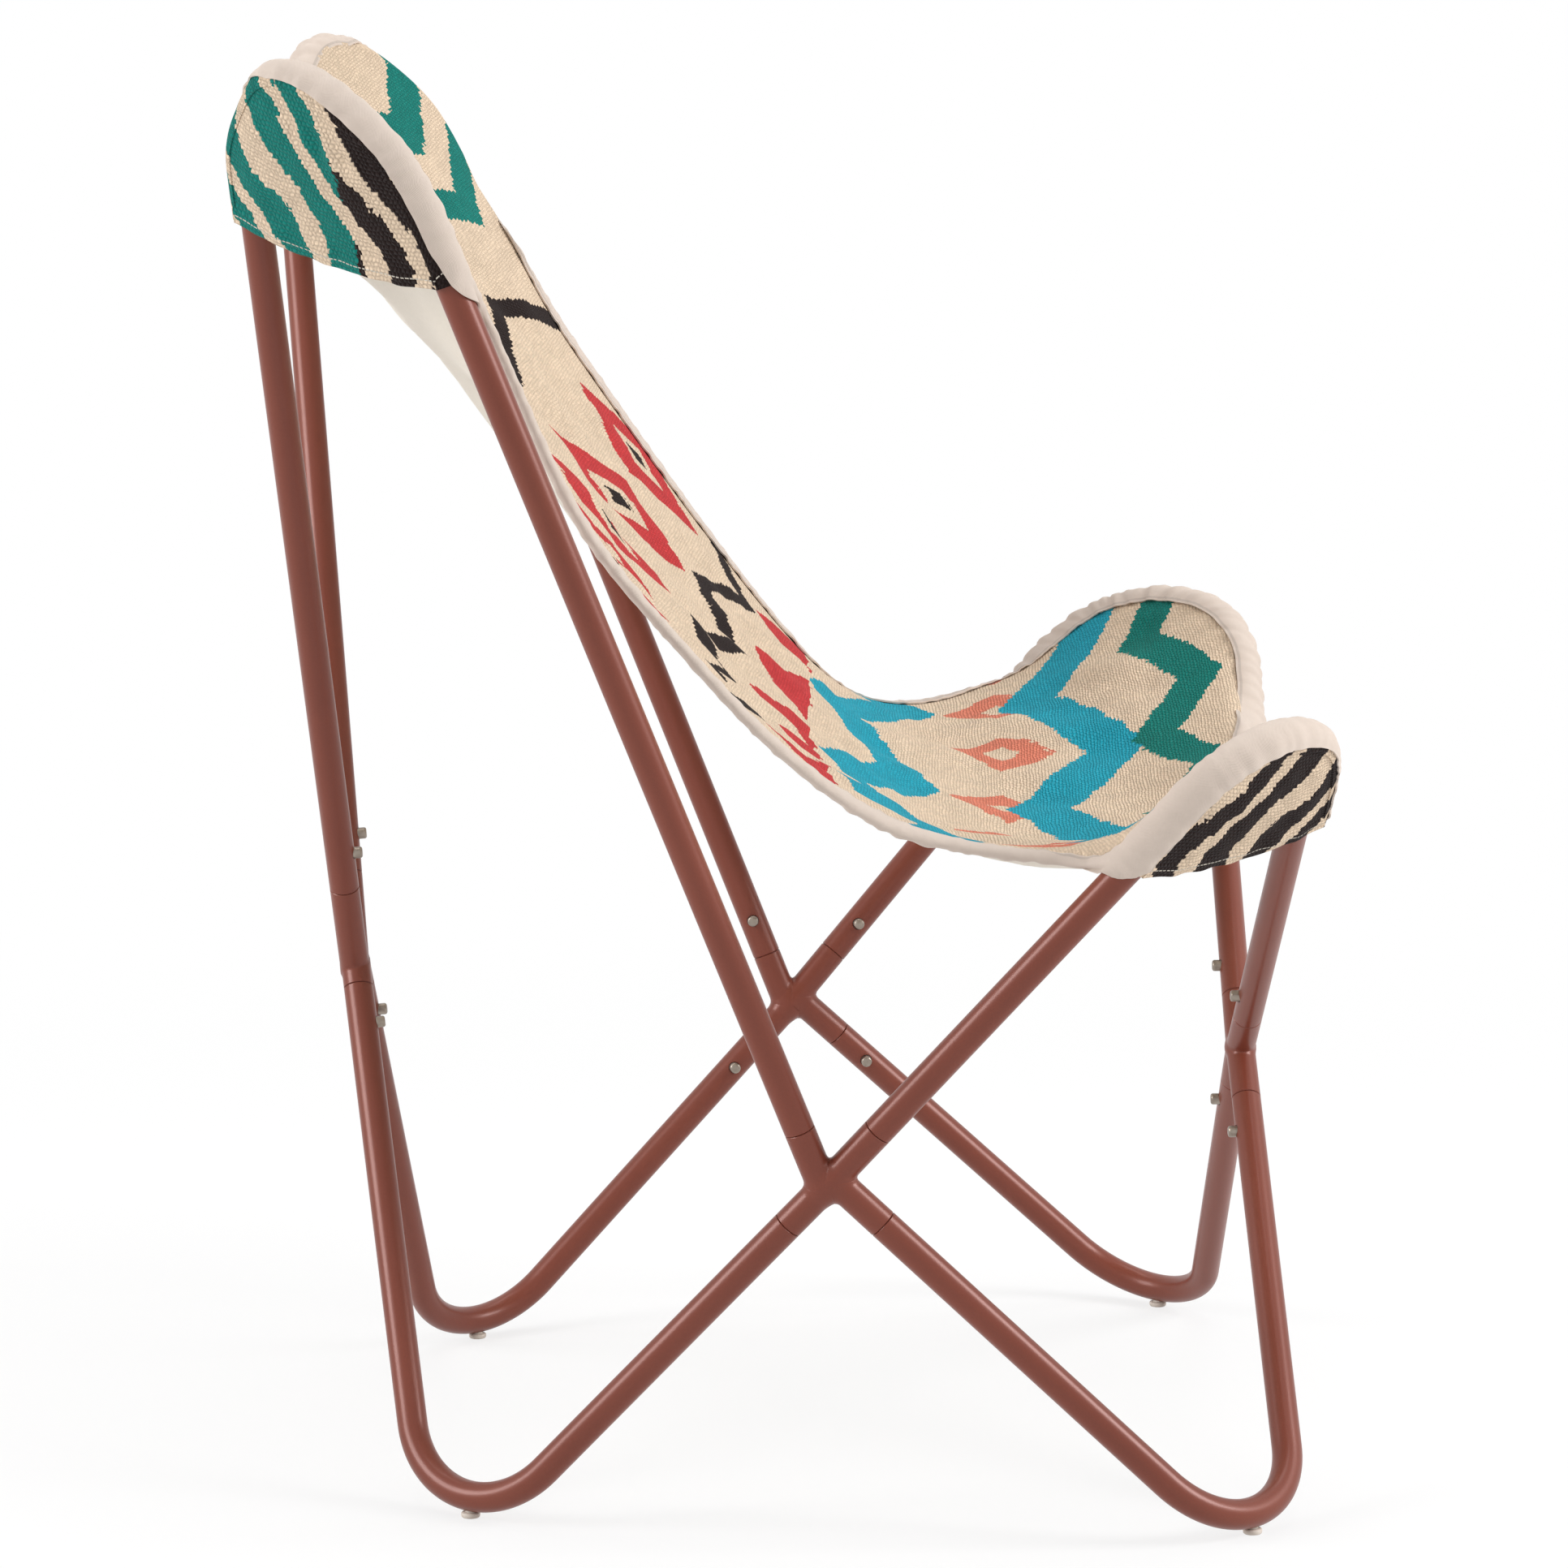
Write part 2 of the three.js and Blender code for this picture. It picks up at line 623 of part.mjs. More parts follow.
// A sheet spanned by its four edges and its middle line, smoothed and draped over the loops
function slingGrid() {
  const across = 2 * rearEarSteps + acrossSteps;
  const down = rearEarSteps + alongSteps + frontEarSteps;
  const crossShare = (edge, i) => edge.share(i, rearEarSteps, acrossSteps, rearEarSteps);
  const sideShare = (edge, j) => edge.share(j, rearEarSteps, alongSteps, frontEarSteps);
  const crossPoint = (edge, i) => edge.curve.getPointAt(crossShare(edge, i));
  const sidePoint = (edge, j) => edge.curve.getPointAt(sideShare(edge, j));
  // How far a cross edge bends away from the straight line between its ends
  const bendOff = (edge, i) => {
    const straight = crossPoint(edge, 0).lerp(crossPoint(edge, across), i / across);
    return crossPoint(edge, i).sub(straight);
  };
  const rearBend = Array.from({ length: across + 1 }, (_, i) => bendOff(rearEdge, i));
  const frontBend = Array.from({ length: across + 1 }, (_, i) => bendOff(frontEdge, i));
  const halfway = (edge) => crossPoint(edge, 0).lerp(crossPoint(edge, across), 1 / 2);
  const rearMiddleBend = rearMiddle.clone().sub(halfway(rearEdge));
  const frontMiddleBend = frontMiddle.clone().sub(halfway(frontEdge));
  const grid = [];
  for (let j = 0; j <= down; j++) {
    const [right, left] = [sidePoint(rightEdge, j), sidePoint(leftEdge, j)];
    const v = (sideShare(rightEdge, j) + sideShare(leftEdge, j)) / 2;
    const rearWeight = (1 - v) ** edgeBlendPower;
    const frontWeight = v ** edgeBlendPower;
    const centreLift = centreLine.getPointAt(v).sub(right.clone().lerp(left, 1 / 2));
    centreLift.addScaledVector(rearMiddleBend, -rearWeight);
    centreLift.addScaledVector(frontMiddleBend, -frontWeight);
    grid.push(Array.from({ length: across + 1 }, (_, i) => {
      const u = i / across;
      const point = right.clone().lerp(left, u).addScaledVector(centreLift, 4 * u * (1 - u));
      return point.addScaledVector(rearBend[i], rearWeight).addScaledVector(frontBend[i], frontWeight);
    }));
  }
  for (let round = 0; round < smoothRounds; round++) {
    const old = grid.map((row) => row.map((point) => point.clone()));
    for (let j = 1; j < down; j++) {
      for (let i = 1; i < across; i++) {
        const around = old[j - 1][i].clone().add(old[j + 1][i]).add(old[j][i - 1]).add(old[j][i + 1]);
        drape(grid[j][i].lerp(around.divideScalar(4), smoothShare));
      }
    }
  }
  return grid.map((row) => row.map(drape));
}
// How closely a point lies on the rim of an ear, from 0 to 1, and that ear's bend
function rimHold(point) {
  let best = { hold: 0 };
  for (const ear of Object.values(ears)) {
    const { turn, outside, lift } = ear.bend.measure(point);
    const away = Math.max(Math.abs(outside) - ear.outside(turn), 0) + Math.abs(lift - sheetLift);
    const hold = 1 - THREE.MathUtils.smoothstep(away, clothRim, 3 * clothRim);
    if (hold > best.hold) best = { hold, bend: ear.bend };
  }
  return best;
}
function gridNormals(grid) {
  const [lastRow, lastColumn] = [grid.length - 1, grid[0].length - 1];
  return grid.map((row, j) => row.map((point, i) => {
    const downward = grid[Math.min(j + 1, lastRow)][i].clone().sub(grid[Math.max(j - 1, 0)][i]);
    const sideways = grid[j][Math.min(i + 1, lastColumn)].clone().sub(grid[j][Math.max(i - 1, 0)]);
    const normal = downward.cross(sideways).normalize();
    const { hold, bend } = rimHold(point);
    return hold > 0 ? normal.lerp(bend.normal, hold).normalize() : normal;
  }));
}
// A closed cloth solid between two offsets from a grid, along the grid's normals
function sheetGeometry(grid, normals, low, high) {
  const [rows, columns] = [grid.length, grid[0].length];
  const positions = [];
  for (const offset of [low, high]) {
    grid.forEach((row, j) => row.forEach((point, i) => {
      positions.push(...along(point, normals[j][i], offset).toArray());
    }));
  }
  const at = (layer, j, i) => layer * rows * columns + j * columns + i;
  const index = [];
  const quad = (a, b, c, d) => index.push(a, b, c, a, c, d);
  for (let j = 0; j < rows - 1; j++) {
    for (let i = 0; i < columns - 1; i++) {
      quad(at(1, j, i), at(1, j + 1, i), at(1, j + 1, i + 1), at(1, j, i + 1));
      quad(at(0, j, i), at(0, j, i + 1), at(0, j + 1, i + 1), at(0, j + 1, i));
    }
    quad(at(0, j, 0), at(0, j + 1, 0), at(1, j + 1, 0), at(1, j, 0));
    const end = columns - 1;
    quad(at(1, j, end), at(1, j + 1, end), at(0, j + 1, end), at(0, j, end));
  }
  for (let i = 0; i < columns - 1; i++) {
    quad(at(1, 0, i), at(1, 0, i + 1), at(0, 0, i + 1), at(0, 0, i));
    quad(at(0, rows - 1, i), at(0, rows - 1, i + 1), at(1, rows - 1, i + 1), at(1, rows - 1, i));
  }
  return indexed(positions, index);
}
function indexed(positions, index) {
  const geometry = new THREE.BufferGeometry();
  geometry.setAttribute('position', new THREE.Float32BufferAttribute(positions, 3));
  geometry.setIndex(index);
  geometry.computeVertexNormals();
  return geometry;
}
const sling = slingGrid();
const slingNormals = gridNormals(sling);
addMesh('sling_face', sheetGeometry(sling, slingNormals, clothGap / 2, faceTop), kilim);
addMesh('sling_lining', sheetGeometry(sling, slingNormals, -liningBottom, -clothGap / 2), canvas);

// Pockets: an outer panel over each loop, from its hem up to the ear's rim
function pocketGrid(ear, hem) {
  const between = (from, to, share) => ear.pocketRim(THREE.MathUtils.lerp(from, to, share));
  const topEnds = [ear.pocketRim(-pocketTurn), ear.pocketRim(pocketTurn)];
  const grid = [];
  for (let j = 0; j <= pocketDown; j++) {
    const share = j / pocketDown;
    const ends = [between(-pocketTurn, -hem.middle, share), between(pocketTurn, hem.side, share)];
    grid.push(Array.from({ length: pocketAcross + 1 }, (_, i) => {
      const u = i / pocketAcross;
      const arch = between(-pocketTurn, pocketTurn, u).sub(topEnds[0].clone().lerp(topEnds[1], u));
      const bow = ear.bend.up.clone().multiplyScalar(-pocketBow * 4 * u * (1 - u));
      const point = ends[0].clone().lerp(ends[1], u);
      return point.addScaledVector(arch, 1 - share).addScaledVector(bow, share);
    }));
  }
  return grid;
}
for (const [name, ear] of Object.entries(ears)) {
  const hem = name.endsWith('rear') ? rearHemShares : frontHemShares;
  const grid = pocketGrid(ear, hem);
  const outwards = grid.map((row) => row.map(() => ear.bend.normal.clone().negate()));
  const facing = gridNormals(grid)[1][1].dot(outwards[0][0]) > 0;
  const turned = facing ? grid : grid.map((row) => row.slice().reverse());
  addMesh(`${name}_pocket`, sheetGeometry(turned, outwards, 0, faceThickness), kilim);
}

// A strip swept through sections, closed in a ring or capped at both ends
function stripGeometry(sections, ring) {
  const corners = sections[0].length;
  const count = sections.length;
  const index = [];
  for (let k = 0; k < (ring ? count : count - 1); k++) {
    const next = (k + 1) % count;
    for (let c = 0; c < corners; c++) {
      const d = (c + 1) % corners;
      const [a, b, e, f] = [k * corners + c, k * corners + d, next * corners + c, next * corners + d];
      index.push(a, f, e, a, b, f);
    }
  }
  if (!ring) {
    // A cap joins each corner of the section's outer half to the one that faces it
    const last = (count - 1) * corners;
    for (let c = 0; c < corners / 2 - 1; c++) {
      const [a, b, e, f] = [c, c + 1, corners - 2 - c, corners - 1 - c];
      index.push(a, e, b, a, f, e, last + a, last + b, last + e, last + a, last + e, last + f);
    }
  }
  return indexed(sections.flat().flatMap((point) => point.toArray()), index);
}

// Ear bands: the canvas strip wrapped over the outside of each loop, from the sheet to the pocket
for (const [name, ear] of Object.entries(ears)) {
  const hem = name.endsWith('rear') ? rearHemShares : frontHemShares;
  const turns = [-hem.middle + bandEndShare];
  const { curveStart, curveEnd } = ear.bend;
  for (let i = 0; i <= bandSteps; i++) {
    turns.push(THREE.MathUtils.lerp(curveStart, curveEnd, i / bandSteps));
  }
  turns.push(hem.side - bandEndShare);
  const inner = clothRim + bandGap;
  const angles = Array.from({ length: bandCorners }, (_, i) => {
    return bandHalfAngle * (1 - 2 * i / (bandCorners - 1));
  });
  const sections = turns.map((turn) => [
    ...angles.map((angle) => ear.wrap(turn, inner + bindingThickness, angle)),
    ...angles.toReversed().map((angle) => ear.wrap(turn, inner, angle)),
  ]);
  const inOrder = ear.bend.tangent(0).cross(ear.bend.up).dot(ear.bend.normal) < 0;
  addMesh(`${name}_ear_band`, stripGeometry(inOrder ? sections : sections.reverse(), false), canvas);
}

// The binding: a canvas strip round the sling's whole rim, rolled thicker on its free edges
function bindingSections() {
  const [rows, columns] = [sling.length - 1, sling[0].length - 1];
  const rim = [];
  for (let j = 0; j < rows; j++) rim.push([j, 0]);
  for (let i = 0; i < columns; i++) rim.push([rows, i]);
  for (let j = rows; j > 0; j--) rim.push([j, columns]);
  for (let i = columns; i > 0; i--) rim.push([0, i]);
  const points = rim.map(([j, i]) => sling[j][i]);
  const count = points.length;
  return points.map((point, k) => {
    const normal = slingNormals[rim[k][0]][rim[k][1]];
    const [before, after] = [points[(k - 1 + count) % count], points[(k + 1) % count]];
    const run = direction(before, point).add(direction(point, after));
    const outward = run.clone().cross(normal).normalize();
    const { hold } = rimHold(point);
    const above = THREE.MathUtils.lerp(hemRollWidth / 2, faceTop, hold);
    const below = THREE.MathUtils.lerp(hemRollWidth / 2, liningBottom, hold);
    const outer = bindingGap + bindingThickness;
    return [[bindingGap, faceTop], [outer, above], [outer, -below], [bindingGap, -liningBottom]]
      .map(([out, lift]) => along(along(point, outward, out), normal, lift));
  });
}
addMesh('sling_binding', stripGeometry(bindingSections(), true), canvas);

// The origin lies on the floor under the middle of the chair's outline
const outline = new THREE.Box3().setFromObject(chair);
const middle = outline.getCenter(vec(0, 0, 0));
chair.position.set(-middle.x, -middle.y, -outline.min.z);

export default chair;
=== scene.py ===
import math
from functools import partialmethod

import bpy
import numpy as np
from mathutils import Matrix, Vector


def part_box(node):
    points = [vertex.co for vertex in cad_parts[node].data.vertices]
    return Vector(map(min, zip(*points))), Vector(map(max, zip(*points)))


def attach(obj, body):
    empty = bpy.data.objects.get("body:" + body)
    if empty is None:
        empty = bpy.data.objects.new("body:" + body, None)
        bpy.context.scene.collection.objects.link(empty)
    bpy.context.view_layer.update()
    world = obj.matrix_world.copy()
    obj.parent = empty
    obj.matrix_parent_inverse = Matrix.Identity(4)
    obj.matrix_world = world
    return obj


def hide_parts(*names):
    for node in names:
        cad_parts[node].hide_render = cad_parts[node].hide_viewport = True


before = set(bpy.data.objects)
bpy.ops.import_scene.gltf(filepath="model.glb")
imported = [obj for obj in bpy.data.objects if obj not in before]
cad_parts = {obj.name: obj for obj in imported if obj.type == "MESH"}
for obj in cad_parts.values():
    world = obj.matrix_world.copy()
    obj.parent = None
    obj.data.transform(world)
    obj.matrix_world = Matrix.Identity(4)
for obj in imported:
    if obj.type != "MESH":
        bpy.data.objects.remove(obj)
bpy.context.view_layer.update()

# A butterfly sling chair. Shapes are worked out in millimetres as in the part's source, then put in metres.
METRE = 1000

# Tubes, spigots, buttons and glides: radii, lengths and clearances
TUBE, BORE, SPIGOT = 9.5, 8.0, 7.7
SPIGOT_WALL, SPIGOT_LENGTH, SPIGOT_ROOT = 1.2, 40, 11
FIT, LIP, HOLE_GAP = 0.3, 0.4, 0.4
SPOT_FROM_SEAM = 26
BUTTON_RADIUS, BUTTON_PROUD = 3.75, 5.0
GLIDE_HEIGHT = 4
TUBE_SIDES, BEND_RINGS, HOLED_RUN = 40, 41, 70

# The four crossings, on the side where X is positive. The rear one is split between its loops and feet
REAR_UPPER, REAR_LOWER, FRONT, SIDE = (0, 289.5, 303), (0, 289.5, 309), (0, -291, 247), (280, -5, 222)
REAR_SLIP, FRONT_SLIP = -2, 7
# Corners where the straight legs of each loop or foot would meet, and the radii of their bends
REAR_LOOP_CORNER, FRONT_LOOP_CORNER, FRONT_FOOT_SPOT = (369.5, 364, 1149), (362, -300, 561), (309.5, -297.5)
REAR_FOOT_SPOT = {"left": (216.5, 241.5), "right": (233.5, 237.5)}
REAR_LOOP_RADIUS, FRONT_LOOP_RADIUS, FOOT_RADIUS = 72.5, 60, 65
# The rear loops are bent in goes: how much the runs between them are flattened, and where
FLATS = ((14.5, 0.65, 1.25), (5, -0.84, 0.62))
# Lengths of the crosses' arms at the side and at the middle, and the fillets of their welds
ARM = {"rear_loop": (40, 66), "front_loop": (48, 42), "rear_foot": (34, 18), "front_foot": (41, 41)}
FILLET = {"right_cross": 4.0, "left_cross": 4.0, "rear_cross": 1.2, "front_cross": 2.0}
OUT = {"right": -1, "left": 1}

# The sling: its sheets above and below its net, and how far its edges and middle hang from their chords
CLOTH_RIM = 9.9
SHEET_LIFT = 11.05
FACE_LOW, FACE_TOP = 0.15, 1.75
LINING_TOP, LINING_LOW = -0.15, -1.15
RIM_OUTSIDE = 3.0
SIDE_DROP, SIDE_INSET = 134, 40
TOP_SAG, TOP_FORWARD, FRONT_SAG = 28, 42, 50
CENTRE_DROP = 150
DRAPE_REACH = 34
POCKET_BOW = 6
# Where the edges leave the middle leg and the side leg, and where the band has become a hem, by turn
LEAVE = {"rear": (1.8, 1.95), "front": (2.1, 1.85)}
HEM = {"rear": (1.9, 2.3), "front": (2.3, 2.0)}
# How far each ear stands off its tube at the side leg and the middle leg
STAND_OFF = {"right_rear": (0, 3), "left_rear": (0, 0), "right_front": (0, 11), "left_front": (22, 23)}
# Where the canvas band's two borders lie round the tube, in degrees from straight outwards, by turn
BAND = {
    "right_rear": [
        (-2.2, 88, 22), (-1, 88, 12), (-0.55, 88, -28), (-0.25, 88, -62), (1.95, 88, -57), (2.3, 88, -36),
        (2.55, 88, 0), (2.85, 88, 22)],
    "left_rear": [
        (-2.2, 88, 10), (-0.1, 88, -40), (0.3, 14, -95), (1.95, 14, -95), (2.4, 60, -50), (2.85, 88, 22)],
    "right_front": [(-2.9, 88, 22), (-2.2, 88, -60), (1.9, 88, -75), (2.5, 88, 22)],
    "left_front": [
        (-3.2, 88, 22), (-2.5, 72, -70), (-1.7, 72, -70), (-1.24, 86, -70), (-0.8, 107, -60), (0.1, 118, -60),
        (0.6, 124, -50), (1.1, 153, -50), (1.6, 170, -60), (2, 150, -30), (2.6, 88, 22)]}
# The free edges and the middle line: run along the chord, drop below it and inset or lean, as shares
RIGHT_EDGE = [
    (0.08, 0.39, 0.85), (0.19, 0.8, 0.93), (0.34, 0.95, 0.93), (0.49, 1.02, 0.9),
    (0.65, 0.93, 0.9), (0.76, 0.72, 0.87), (0.87, 0.47, 0.78), (0.95, 0.25, 0.42)]
LEFT_EDGE = [
    (0.06, 0.11, 0.7), (0.14, 0.31, 0.9), (0.26, 0.51, 0.97), (0.41, 0.73, 1.02),
    (0.56, 0.9, 1.05), (0.68, 0.95, 1.03), (0.8, 0.665, 0.95), (0.91, 0.31, 0.7)]
CROSS_EDGE = [(0.22, 0.66, 0.68), (0.5, 1, 1), (0.78, 0.66, 0.68)]
CENTRE = [
    (0.09, 0.17), (0.17, 0.36), (0.28, 0.63), (0.37, 0.81), (0.46, 0.95), (0.55, 1.03),
    (0.63, 1.03), (0.72, 0.92), (0.82, 0.66), (0.91, 0.35)]
# Steps of the sling's net, each split finer
FINE = 4
REAR_STEPS, FRONT_STEPS, ACROSS_STEPS, ALONG_STEPS = 6, 5, 8, 13
ACROSS, DOWN = 2 * REAR_STEPS + ACROSS_STEPS, REAR_STEPS + ALONG_STEPS + FRONT_STEPS


def unit(v):
    return v / np.linalg.norm(v, axis=-1, keepdims=True)


def lerp(a, b, t):
    return a + (b - a) * t


def ramp(x, low, high):
    t = np.clip((np.asarray(x, float) - low) / (high - low), 0, 1)
    return t * t * (3 - 2 * t)


def vec(*v):
    return np.array(v, float)


def run_along(points, axis=0):
    """How far each point lies along its line of points."""
    steps = np.linalg.norm(np.diff(points, axis=axis), axis=-1)
    return np.concatenate([np.zeros_like(steps.take([0], axis)), steps.cumsum(axis)], axis)


class Bend:
    """A bend between two straight legs, with its side leg at positive turns."""

    def __init__(self, corner, side_end, middle_end, radius, inside, flats=()):
        self.side_end, self.middle_end, self.radius, self.flats = side_end, middle_end, radius, flats
        self.to_side, self.to_middle = unit(side_end - corner), unit(middle_end - corner)
        half = math.acos(self.to_side @ self.to_middle) / 2
        self.up = -unit(self.to_side + self.to_middle)
        self.centre = corner - self.up * radius / math.sin(half)
        self.reach = math.pi / 2 - half
        self.curve = (min((m - h for _d, m, h in flats), default=-self.reach),
                      max((m + h for _d, m, h in flats), default=self.reach))
        across = self.to_side - self.to_middle
        self.side = unit(across - self.up * (across @ self.up))
        self.normal = np.cross(self.up, self.side)
        if self.normal @ inside < 0:
            self.normal = -self.normal

    def rise(self, turn):
        return 0 * turn - sum(depth * np.cos(np.minimum(np.abs(turn - middle) / half, 1) * math.pi / 2) ** 2
                              for depth, middle, half in self.flats)

    def outward(self, turn):
        angle = np.clip(turn, -self.reach, self.reach)[..., None]
        return self.up * np.cos(angle) + self.side * np.sin(angle)

    def point(self, turn, outside=0.0, lift=0.0):
        turn, outside, lift = np.broadcast_arrays(np.asarray(turn, float), outside, lift)
        leg = np.where(turn[..., None] > 0, self.to_side, self.to_middle)
        run = np.maximum(np.abs(turn) - self.reach, 0)[..., None] * self.radius
        place = self.centre + self.outward(turn) * (self.radius + self.rise(turn) + outside)[..., None]
        return place + leg * run + self.normal * lift[..., None]

    def measure(self, points):
        """The turn run along the centre line, the distance outside it and the lift above its plane."""
        away = points - self.centre
        angle = np.arctan2(away @ self.side, away @ self.up)
        leg = np.where(angle[..., None] > 0, self.to_side, self.to_middle)
        run = (away * leg).sum(-1) / self.radius
        turn = np.where(np.abs(angle) > self.reach, np.sign(angle) * (self.reach + run), angle)
        outside = (away * self.outward(turn)).sum(-1) - self.radius - self.rise(turn)
        return turn, outside, away @ self.normal


def mirrored(bend):
    copy = Bend.__new__(Bend)
    copy.__dict__.update(bend.__dict__)
    for key in ("side_end", "middle_end", "to_side", "to_middle", "up", "centre", "side", "normal"):
        setattr(copy, key, getattr(bend, key) * vec(-1, 1, 1))
    return copy


def foot(out, back, side_end, middle_end):
    """A foot's bend, at the height at which its lowest point stands on its glide."""
    height = 0.0
    for _ in range(30):
        bend = Bend(vec(out, back, height), side_end, middle_end, FOOT_RADIUS, vec(-1, 0, 0))
        bend.low_turn = math.atan2(-bend.side[2], -bend.up[2])
        height += GLIDE_HEIGHT + TUBE - bend.point(bend.low_turn)[2]
    return bend


def side_bends(side):
    """The bends of one side's loops and feet, drawn where X is positive."""
    crossing, rear_middle, front_middle = vec(*SIDE), vec(*REAR_UPPER), vec(*FRONT)
    through = unit(vec(*FRONT_LOOP_CORNER) - vec(*REAR_FOOT_SPOT["right"], -FOOT_RADIUS / 2))
    rear_end, front_end = crossing + REAR_SLIP * through, crossing + FRONT_SLIP * through
    rear_corner, front_corner = vec(*REAR_LOOP_CORNER), vec(*FRONT_LOOP_CORNER)
    return {
        "rear_loop": Bend(rear_corner, rear_end, rear_middle, REAR_LOOP_RADIUS, vec(-1, -1, 0), FLATS),
        "front_loop": Bend(front_corner, crossing, front_middle, FRONT_LOOP_RADIUS, vec(-1, 1, 1)),
        "rear_foot": foot(*REAR_FOOT_SPOT[side], crossing, vec(*REAR_LOWER)),
        "front_foot": foot(*FRONT_FOOT_SPOT, front_end, front_middle)}


bends = {"left": side_bends("left"), "right": {k: mirrored(bend) for k, bend in side_bends("right").items()}}
loops = [bends[s][k] for s in bends for k in ("rear_loop", "front_loop")]

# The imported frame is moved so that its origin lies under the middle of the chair
low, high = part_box("left_front_glide")
glide_spot = bends["left"]["front_foot"].point(bends["left"]["front_foot"].low_turn)
SHIFT = (vec(*low) + vec(*high)) / 2 * METRE - glide_spot
SHIFT[2] = 0


def place(points):
    return (np.asarray(points, float) + SHIFT) / METRE


# Colours and procedural materials
def srgb(r, g, b):
    return [((c / 255 + 0.055) / 1.055) ** 2.4 if c > 10 else c / 255 / 12.92 for c in (r, g, b)] + [1]


def feed(tree, value, socket):
    """Sets a socket to a value, or links it to a field or to another socket."""
    value = getattr(value, "socket", value)
    if isinstance(value, bpy.types.NodeSocket):
        tree.links.new(value, socket)
    else:
        socket.default_value = value


def add_node(tree, kind, inputs, output=0, **settings):
    """One output of a new shader node with these inputs."""
    node = tree.nodes.new(f"ShaderNode{kind}")
    for key, value in settings.items():
        setattr(node, key, value)
    for key, value in inputs.items():
        feed(tree, value, node.inputs[key])
    return node.outputs[output]


class Field:
    """A number that varies over a surface, from Math nodes."""

    def __init__(self, tree, socket):
        self.tree, self.socket = tree, socket

    def op(self, operation, *others):
        inputs = dict(enumerate((self, *others)))
        return Field(self.tree, add_node(self.tree, "Math", inputs, operation=operation))

    __add__ = partialmethod(op, "ADD")
    __sub__ = partialmethod(op, "SUBTRACT")
    __mul__ = partialmethod(op, "MULTIPLY")
    __lt__ = partialmethod(op, "LESS_THAN")
    __gt__ = partialmethod(op, "GREATER_THAN")
    __abs__ = partialmethod(op, "ABSOLUTE")

    def within(self, middle, reach):
        return abs(self - middle) < reach

    def wave(self, period, height):
        """A zigzag between zero and height."""
        return (self * (2 / period)).op("PINGPONG", 1.0) * height


def vector(tree, x, y):
    return add_node(tree, "CombineXYZ", {0: x, 1: y})


def noise(tree, where, scale, detail=2.0, rough=0.5):
    inputs = {"Vector": where, "Scale": scale, "Detail": detail, "Roughness": rough}
    return Field(tree, add_node(tree, "TexNoise", inputs))


def mix(tree, mask, under, over):
    """Two colours by a mask: the Mix node's inputs 6 and 7, and its output 2."""
    return add_node(tree, "Mix", {0: mask, 6: under, 7: over}, output=2, data_type="RGBA")


def scaled(tree, colour, amount):
    return add_node(tree, "VectorMath", {0: colour, "Scale": amount}, operation="SCALE")


def bump(tree, shader, height, distance, strength):
    inputs = {"Height": height, "Distance": distance, "Strength": strength}
    feed(tree, add_node(tree, "Bump", inputs), shader.inputs["Normal"])


def material(name, build, **values):
    made = bpy.data.materials.new(name)
    made.use_nodes = True
    tree = made.node_tree
    shader = tree.nodes["Principled BSDF"]
    for key, value in values.items():
        shader.inputs[key.replace("_", " ")].default_value = value
    build(tree, shader)
    return made


def flat_xy(tree):
    """The cloth's own flat coordinates in millimetres."""
    split = tree.nodes.new("ShaderNodeSeparateXYZ")
    feed(tree, add_node(tree, "UVMap", {}, uv_map="flat"), split.inputs[0])
    return Field(tree, split.outputs[0]) * METRE, Field(tree, split.outputs[1]) * METRE


def object_place(tree):
    return add_node(tree, "TexCoord", {}, "Object")


NATURAL, TEAL, TURQUOISE = srgb(225, 202, 176), srgb(18, 121, 111), srgb(34, 158, 180)
CORAL, RED, BLACK = srgb(220, 130, 106), srgb(196, 58, 60), srgb(37, 26, 24)
THREAD = srgb(218, 210, 196)


def face_pattern(tree, x, y):
    """Rows of traditional flat-weave motifs: chevrons, nested lozenges, triangles and zigzags."""
    def zigzag(period, height, middle, reach):
        return (y - x.wave(period, height)).within(middle, reach)

    def lozenge(middle, period, start, slant):
        return abs((x + start).op("PINGPONG", period / 2) - period / 4) * 2 + abs(y - middle) * slant

    wide, narrow = lozenge(292, 236, 40, 1.35), lozenge(626, 176, 44, 1.5)
    triangles = (x.op("PINGPONG", 60.0) - y < -424) * y.within(452, 26)
    colour = NATURAL
    for mask, over in (
            (zigzag(118, 40, -16, 19), TEAL), (zigzag(118, 40, 50, 15), TEAL),
            (zigzag(150, -44, 190, 9), BLACK), (wide < 92, RED), (wide < 40, NATURAL), (wide < 18, BLACK),
            (zigzag(150, 44, 372, 9), BLACK), (triangles, RED), (zigzag(176, 58, 500, 23), TURQUOISE),
            (narrow < 58, CORAL), (narrow < 20, NATURAL),
            (zigzag(176, -58, 706, 22), TURQUOISE), (zigzag(118, -40, 774, 17), TEAL)):
        colour = mix(tree, mask, colour, over)
    return colour


def stripes_pattern(first, second):
    """Leaning stripes that widen and narrow, as on many flat weaves."""
    half_period, width, second_from = 20.5, 12, 26

    def build(tree, x, y):
        lean = x * 0.95 + y * 0.5 + noise(tree, vector(tree, x, y), 0.013, 0.0) * 56
        stripe = lean.op("PINGPONG", half_period) < width
        colour = mix(tree, stripe, NATURAL, first)
        return mix(tree, stripe * (x > second_from), colour, second)
    return build


